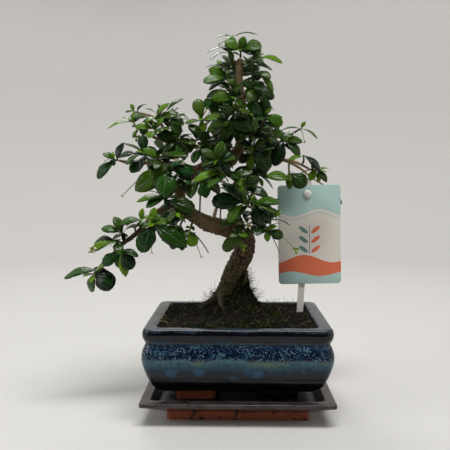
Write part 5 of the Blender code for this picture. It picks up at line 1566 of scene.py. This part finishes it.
def solid_shape(name):
    """A node's solid as points in millimetres and faces."""
    mesh = frame["nodes"][name].data
    return [v.co / MM for v in mesh.vertices], [tuple(face.vertices) for face in mesh.polygons]


def make_shoots():
    space = Space()
    for name in ("soil", "label_stick", "label_card"):
        space.take(name, solid_shape(name))
    space.take("wood", tube(limb_path("trunk"), TRUNK_SIDES, WOOD_SPACE))
    for name in LIMBS:
        space.take("wood", tube(limb_path(name), LIMB_SIDES, WOOD_SPACE))
    names = []
    for index, row in enumerate(SHOOTS):
        number = 1 + sum(other[0] == row[0] for other in SHOOTS[:index])
        names.append(f"shoot_{row[0]}_{number}")
    for name, row in zip(names, SHOOTS):
        space.take(name, tube(shoot_path(row), SHOOT_SIDES, STEM_SPACE))
    leaves = {name: aimed_leaves(row, name, space) for name, row in zip(names, SHOOTS)}
    for name, row in zip(names, SHOOTS):
        leaves[name] += spiral_leaves(row, name, space)
    more_names = [f"twig_{row[0]}_{index + 1}" for index, row in enumerate(MORE_SHOOTS)]
    leaves.update({name: spiral_leaves(row, name, space) for name, row in zip(more_names, MORE_SHOOTS)})
    rows = dict(zip(names + more_names, SHOOTS + MORE_SHOOTS))
    for name, row in rows.items():
        leaves[name] += more_leaves_of(row, name, space) if row[3] else []
    forms = gather("leaf forms", [leaf_form(*form) for form in LEAF_FORMS])
    tree = make_shoot_tree()
    leaf_skin, stem_skin = make_leaf_skin(), make_stem_skin()
    for name, row in rows.items():
        stem = curve_through(shoot_path(row), 3)
        piece = shoot_points("leafy_" + name, stem, leaves[name], random.Random(name + " looks"))
        grow(piece, tree, forms=forms, leaf_finish=leaf_skin, stem_finish=stem_skin)
        piece.data.shade_smooth()
        show_piece(piece, "leaf", *([name] if name in names else []))
    discard(forms)


make_shoots()

# The flowers and the newest growth. Small white stars with five petals, green buds, and the spiky cups that
# stay when a flower has dropped, all on thin stalks from the leaf axils. Some bare twigs grow there too.
PETAL_WHITE = "E8DCCB"
PETAL_HEART = "A87656"
BUD_TONES = ((0.3, "5E7A1C"), (0.7, "A3B848"))
TWIG_BROWN = "2C2115"
STALK_SIDES = 6
PETAL = (4.2, 1.9)
SEPAL = (3.0, 0.8)
BUD = (1.0, 1.8)
STALKS = (
    ("centre_rise", 0.60, 0.30, (-5, -17, -8), 0.45, "flower"),
    ("low_left", 0.72, 1.00, (-13, -11, -4), 0.40, "flower"),
    ("low_left", 0.38, 0.60, (1, -4, -22), 0.40, "cup"), ("trunk", 0.420, 1.00, (9, 0, -18), 0.45, "cup"),
    ("trunk", 0.420, 0.90, (15, 2, -17), 0.65, "twig"),
    ("centre_right", 1.00, 0.90, (10, -3, -18), 0.55, "twig"),
    ("centre_right", 1.00, 0.70, (23, -4, -15), 0.35, "buds"),
    ("right", 1.00, 0.90, (3, -2, -10), 0.35, "cup"),
    ("high_left", 1.00, 0.50, (0, -3, -9), 0.40, "buds"), ("trunk", 0.985, 0.90, (-10, -2, -4), 0.40, "cup"),
    ("mid_left", 0.33, 0.80, (-37, 2, -22), 0.50, "cup"),
    ("right_low", 1.00, 0.50, (-14, -3, -5), 0.60, "twig"),
    ("trunk", 0.310, 0.50, (3, -9, -9), 0.40, "buds"), ("left_riser", 1.00, 0.60, (5, -6, 8), 0.40, "cup"),
    ("centre_right", 1.00, 0.50, (11, -7, 6), 0.35, "twig"),
    ("low_left", 0.50, 0.80, (9, -7, 3), 0.35, "buds"),
)
BARE_TWIGS = ((0.405, (0, -9, -5), (1, -10, 22), 0.75), (0.355, (0, -9, -5), (1, -9, 15), 0.70))
STRAWS = (
    ((-56, -24, 73), (-9, -5, 6)), ((-57, -12, 73), (-10, 1, 5)), ((-54, -31, 73), (-8, -8, 5)),
    ((-55, -20, 73), (-4, -9, 8)), ((-56, 2, 73), (-9, 4, 7)), ((50, -30, 73), (8, -7, 5)),
)
STRAW_TONES = ((0.3, "7A6A42"), (0.7, "C8B98A"))
BUD_STALKS = ((1.6, 0, 0.6), (-1.2, -1, 1.0), (0.4, -1, -2.2))
PETAL_POINTS = 6
HEART_SHARES = (1.0, 0.0, 0.0, 0.0, 0.25, 0.25)


def petal(root, ahead, face, size):
    """A closed thin petal, pointed at both ends, as points and faces."""
    length, width = size
    across = ahead.cross(face).normalized()
    points = [root, root + ahead * length * 0.55 + across * width / 2, root + ahead * length,
              root + ahead * length * 0.55 - across * width / 2]
    heart = root + ahead * length * 0.5
    points += [heart + face * 0.22, heart - face * 0.12]
    faces = [(k, (k + 1) % 4, 4) for k in range(4)] + [((k + 1) % 4, k, 5) for k in range(4)]
    return points, faces


def star(tip, ahead, size, opening):
    """Five petals round a stalk's tip. The opening is 0 for a closed star and 1 for a flat one."""
    petals = []
    side = ahead.orthogonal().normalized()
    for k in range(5):
        out = Matrix.Rotation(2 * math.pi * k / 5, 3, ahead) @ side
        along_petal = (out * opening + ahead * (1 - opening)).normalized()
        face = (ahead - along_petal * ahead.dot(along_petal)).normalized()
        petals.append(petal(tip, along_petal, face, size))
    return joined(petals)


def bud(tip, ahead):
    """A small egg on a stalk's tip."""
    points, faces = ball(2, 1.0)
    turn = ahead.to_track_quat("Z", "Y").to_matrix()
    return [tip + turn @ Vector((p.x * BUD[0], p.y * BUD[0], p.z * BUD[1])) for p in points], faces


def stalk_line(start, reach, radius):
    """A stalk that sets off a little upwards and bends over to its tip."""
    rise = Vector((0, 0, 0.12 * reach.length))
    spots = [start, start + reach * 0.33 + rise, start + reach * 0.7 + rise * 0.8, start + reach]
    return curve_through([Vector((*spot, radius * (1 - 0.12 * k))) for k, spot in enumerate(spots)], 4)


def make_flowers():
    groups = {name: [] for name in (
        "flower_stalks", "bare_twigs", "star_flowers", "buds_and_cups", "dry_grass")}
    for limb, place, stem_place, reach, radius, head in STALKS:
        row = next(row for row in SHOOTS if row[:2] == (limb, place))
        line = stalk_line(along(shoot_path(row), stem_place)[0].to_3d(), Vector(reach), radius)
        groups["bare_twigs" if head == "twig" else "flower_stalks"].append(tube(line, STALK_SIDES))
        tip = line[-1].to_3d()
        ahead = (tip - line[-2].to_3d()).normalized()
        if head == "flower":
            ahead = (ahead + Vector((0, -1.6, 0.4))).normalized()
            groups["star_flowers"].append(star(tip, ahead, PETAL, 0.85))
            groups["buds_and_cups"].append(star(tip - ahead * 0.4, ahead, SEPAL, 0.5))
        if head == "cup":
            groups["buds_and_cups"].append(star(tip - ahead * 0.3, ahead, SEPAL, 0.45))
        if head == "buds":
            for out in (Vector(step) for step in BUD_STALKS):
                groups["flower_stalks"].append(tube(stalk_line(tip, out, 0.3), STALK_SIDES))
                groups["buds_and_cups"].append(bud(tip + out, out.normalized()))
    for place, knee, reach, radius in BARE_TWIGS:
        start = along(limb_path("trunk"), place)[0].to_3d()
        spots = [Vector((*(start + Vector(step)), radius)) for step in ((0, 0, 0), knee, reach)]
        groups["bare_twigs"].append(tube(curve_through(spots, 6), STALK_SIDES))
    for start, reach in STRAWS:
        groups["dry_grass"].append(tube(stalk_line(Vector(start), Vector(reach), 0.22), STALK_SIDES))

    # Petals are thin, soft and white, browned towards the flower's heart. Buds, cups and their stalks are a
    # fresh half-matt green, bare twigs brown and rough, and dry grass is straw-coloured.
    white, node, place = new_material("flower petals")
    heart = node("Attribute", output="Fac", attribute_name="heart")
    tone = node("Mix", {0: heart, 6: linear(PETAL_WHITE), 7: linear(PETAL_HEART)}, 2, data_type="RGBA")
    finish(white, Roughness=0.6, IOR=1.4, Base_Color=tone)
    brown, node, place = new_material("bare twig bark")
    mottle = node("TexNoise", {"Vector": place, "Scale": 1 / STEM_MOTTLE, "Detail": 4})
    tone = node("ValToRGB", {0: mottle}, stops=((0.35, TWIG_BROWN), (0.7, BARK_GREY)))
    finish(brown, Roughness=0.7, IOR=1.45, Base_Color=tone)
    finishes = {"star_flowers": white, "bare_twigs": brown}
    for name, *look in (("buds_and_cups", "green buds and cups", BUD_TONES, 0.5, 1.5),
                        ("flower_stalks", "green flower stalks", BUD_TONES, 0.55, 3.0),
                        ("dry_grass", "dry grass", STRAW_TONES, 0.6, 3.0)):
        finishes[name] = make_toned_material(*look)[0]
    for name, shapes in groups.items():
        points, faces = joined(shapes)
        piece = new_piece(name, points, faces, [finishes[name]])
        if name == "star_flowers":
            give_values(piece, "heart", [HEART_SHARES[k % PETAL_POINTS] for k in range(len(points))])
        show_piece(piece, "soil" if name == "dry_grass" else "leaf")


make_flowers()

# The plant label. A printed, laminated card with rounded corners hangs on a moulded stick of milky
# polypropylene that stands in the soil: a stud on the stick is pressed through the card's punched hole.
CARD = (54.0, 85.6, 0.9)
CARD_CORNER = 3.2
CARD_CENTRE = (62.0, 15.0, 141.5)
CARD_TILT = math.radians(1.2)
CARD_HOLE = (-1.5, 35.0)
CARD_HOLE_RADIUS = 2.6
STICK_WIDTH = 5.6
STICK_THICKNESS = 1.4
STICK_WEB = 0.9
STICK_BEAD = 0.9
STICK_FOOT = (53.0, 48.0)
STICK_TOP = (61.0, 189.0)
STUD_RADIUS = 2.2
STUD_HEAD = (3.6, 1.5)
LABEL_GAP = 0.3
# The print's ground, teal and coral are lighter than the card's inks: painted light for the light on its
# face.
PRINT_GROUND_PAINTED_LIGHTER = "EAE3D8"
PRINT_TEAL_PAINTED_LIGHTER = "B8D6D0"
PRINT_CORAL_PAINTED_LIGHTER = "EC7A55"
PRINT_DEEP = "6E918B"
PRINT_LINES = "C2603F"
MILKY_PLASTIC = "E4E2DB"
MILKY_FLOW = 3
CARD_EDGE = ((0.0, 0.25), (0.06, 0.08), (0.2, 0.0))
CARD_OUTLINE_COUNTS = (6, 9, 8)
PUNCH_SIDES = 40
STUD_SIDES = 36
STUD_HEAD_STEPS = 7
STICK_STEPS = 24
STICK_TOP_STEPS = 6
PRINT_WAVES = (
    ("field", 19.0, 3.0, 44.0, 0.4), ("line low", 15.6, 3.0, 44.0, 0.4), ("line high", 16.4, 3.0, 44.0, 0.4),
    ("above hill", -21.0, 3.4, 50.0, 2.2), ("above foot", -34.0, 2.2, 50.0, 3.6),
)
SPRIG = (-16.8, 8.4)
SPRIG_STEP = 8.4
SPRIG_LEAF = (5.2, 4.2, 4.6, 1.7)
SPRIG_LEAN = math.radians(38)


def card_point(x, z, y=0.0):
    """A point of the card from its own coordinates, with the card's small tilt."""
    turn = Matrix.Rotation(-CARD_TILT, 3, "Y")
    return Vector(CARD_CENTRE) + turn @ Vector((x, y, z))


def make_print():
    # A laminated card: satin all over, printed with waves, a leafy sprig and fine lines in flat soft inks;
    # its ground, teal and coral are painted lighter than the inks, as painted light on the card's upright
    # face.
    card, node, place = new_material("laminated card")
    own = node("Attribute", output="Vector", attribute_name="print")
    made = {"x": node("SeparateXYZ", {0: own}, "X"), "z": node("SeparateXYZ", {0: own}, "Y")}
    for name, level, rise, length, shift in PRINT_WAVES:
        phase = node("Math", {0: made["x"], 1: 2 * math.pi / length, 2: shift}, operation="MULTIPLY_ADD")
        wave = node("Math", {0: phase}, operation="SINE")
        crest = node("Math", {0: wave, 1: rise, 2: level}, operation="MULTIPLY_ADD")
        made[name] = node("Math", {0: made["z"], 1: crest}, operation="GREATER_THAN")
    out, up, half_length, half_width = SPRIG_LEAF
    lean, rise = math.cos(SPRIG_LEAN), math.sin(SPRIG_LEAN)
    for name, operation, *values in (
            ("line", "SUBTRACT", "line low", "line high"), ("hill", "SUBTRACT", 1.0, "above hill"),
            ("foot", "SUBTRACT", 1.0, "above foot"), ("stripes", "PINGPONG", "x", 0.75),
            ("stripes", "LESS_THAN", "stripes", 0.17), ("stripes", "MULTIPLY", "hill", "stripes"),
            ("stripes", "MULTIPLY", "stripes", 0.45), ("across", "ABSOLUTE", "x"),
            ("step", "FLOORED_MODULO", "z", SPRIG_STEP), ("u", "SUBTRACT", "across", out),
            ("v", "SUBTRACT", "step", up), ("long", "MULTIPLY", "v", rise),
            ("long", "MULTIPLY_ADD", "u", lean, "long"), ("short", "MULTIPLY", "u", -rise),
            ("short", "MULTIPLY_ADD", "v", lean, "short"), ("long", "DIVIDE", "long", half_length),
            ("short", "DIVIDE", "short", half_width), ("leaf", "MULTIPLY", "long", "long"),
            ("leaf", "MULTIPLY_ADD", "short", "short", "leaf"), ("leaf", "LESS_THAN", "leaf", 1.0),
            ("low", "GREATER_THAN", "z", SPRIG[0]), ("sprig", "LESS_THAN", "z", SPRIG[1]),
            ("sprig", "MULTIPLY", "low", "sprig"), ("leaf", "MULTIPLY", "leaf", "sprig"),
            ("left", "LESS_THAN", "x", 0.0), ("left leaf", "MULTIPLY", "leaf", "left"),
            ("right leaf", "SUBTRACT", "leaf", "left leaf"), ("stalk", "LESS_THAN", "across", 0.3),
            ("stalk", "MULTIPLY", "stalk", "sprig")):
        inputs = {k: made[value] if isinstance(value, str) else value for k, value in enumerate(values)}
        made[name] = node("Math", inputs, operation=operation)
    tone = linear(PRINT_GROUND_PAINTED_LIGHTER)
    for name, colour in (("field", PRINT_TEAL_PAINTED_LIGHTER), ("line", PRINT_TEAL_PAINTED_LIGHTER), ("hill", PRINT_CORAL_PAINTED_LIGHTER),
                         ("stripes", PRINT_LINES), ("foot", PRINT_TEAL_PAINTED_LIGHTER), ("left leaf", PRINT_DEEP),
                         ("right leaf", PRINT_CORAL_PAINTED_LIGHTER), ("stalk", PRINT_DEEP)):
        tone = node("Mix", {0: made[name], 6: tone, 7: linear(colour)}, 2, data_type="RGBA")
    return finish(card, Roughness=0.32, IOR=1.5, Base_Color=tone)


def turned_across(profile, sides):
    """A shape turned round the card's hole: its profile is distances along Y with their radii."""
    return lofted([[card_point(CARD_HOLE[0] + radius * x, CARD_HOLE[1] + radius * z, y)
                    for x, z in reversed(circle(sides))] for y, radius in profile])


def make_label():
    thick = CARD[2] / 2
    rings = []
    for y, drawn_in in [(depth - thick, drawn_in) for depth, drawn_in in CARD_EDGE] + [
            (thick - depth, drawn_in) for depth, drawn_in in reversed(CARD_EDGE)]:
        ring = outline(CARD[0] / 2 - drawn_in, CARD[1] / 2 - drawn_in, CARD_CORNER, 0, *CARD_OUTLINE_COUNTS)
        rings.append([card_point(p.x, p.y, y) for p in reversed(ring)])
    card = new_piece("printed_label_card", *lofted(rings), [make_print()])
    punch = new_piece("punch", *turned_across(((-3, CARD_HOLE_RADIUS), (3, CARD_HOLE_RADIUS)), PUNCH_SIDES))
    boolean(card, [punch], "DIFFERENCE")
    upright = Matrix.Rotation(CARD_TILT, 3, "Y")
    own = [upright @ (v.co / MM - Vector(CARD_CENTRE)) for v in card.data.vertices]
    give_values(card, "print", [(p.x, p.z, p.y) for p in own], "FLOAT_VECTOR")
    card.data.shade_smooth()
    card.data.set_sharp_from_angle(angle=math.radians(35))
    show_piece(card, "printed_card", "label_card")

    # Milky polypropylene: half matt, with a soft waxy depth where light goes in, and faint moulding flow.
    milky, node, place = new_material("milky polypropylene")
    flow = node("TexNoise", {"Vector": place, "Scale": 1 / MILKY_FLOW, "Detail": 3})
    bump = node("Bump", {"Height": flow, "Strength": 0.15, "Distance": 0.0003})
    finish(milky, Base_Color=MILKY_PLASTIC, Roughness=0.34, IOR=1.49, Subsurface_Weight=0.3,
           Subsurface_Scale=0.002, Normal=bump)
    middle = CARD_CENTRE[1] + thick + LABEL_GAP + STICK_THICKNESS / 2
    half, web, round_off = STICK_THICKNESS / 2, STICK_WEB / 2, STICK_WIDTH / 2
    (foot_x, foot_z), (top_x, top_z) = STICK_FOOT, STICK_TOP
    round_starts = top_z - round_off
    levels = [foot_z + (round_starts - foot_z) * k / STICK_STEPS for k in range(STICK_STEPS + 1)]
    levels += [round_starts + round_off * math.sin(math.pi / 2 * k / STICK_TOP_STEPS)
               for k in range(1, STICK_TOP_STEPS + 1)]
    rings = []
    for z in levels:
        over_round = max(0.0, z - round_starts)
        wide = max(0.25, math.sqrt(max(0.0, round_off ** 2 - over_round ** 2)))
        x = foot_x + (top_x - foot_x) * (z - foot_z) / (top_z - foot_z)
        bead = min(STICK_BEAD, wide * 0.4)
        section = [(-wide, -half + 0.2), (-wide + 0.2, -half), (-wide + bead, -half),
                   (-wide + bead + 0.2, -web)]
        section += [(-sx, sy) for sx, sy in reversed(section)]
        section += [(sx, -sy) for sx, sy in reversed(section)]
        rings.append([Vector((x + sx, middle + sy, z)) for sx, sy in section])
    stick = new_piece("label_stick_with_stud", *lofted(rings), [milky])
    radius, height = STUD_HEAD
    front = -thick - LABEL_GAP
    profile = [(front - height, radius * 0.08)]
    for step in range(1, STUD_HEAD_STEPS + 1):
        angle = math.pi / 2 * step / STUD_HEAD_STEPS
        profile.append((front - height * math.cos(angle), radius * math.sin(angle)))
    profile += [(front, radius * 0.97), (front + 0.05, STUD_RADIUS), (thick + LABEL_GAP + half, STUD_RADIUS)]
    stud = new_piece("stud", *turned_across(profile, STUD_SIDES))
    boolean(stick, [stud], "UNION")
    stick.data.shade_smooth()
    stick.data.set_sharp_from_angle(angle=math.radians(35))
    show_piece(stick, "stick_plastic", "label_stick")


make_label()
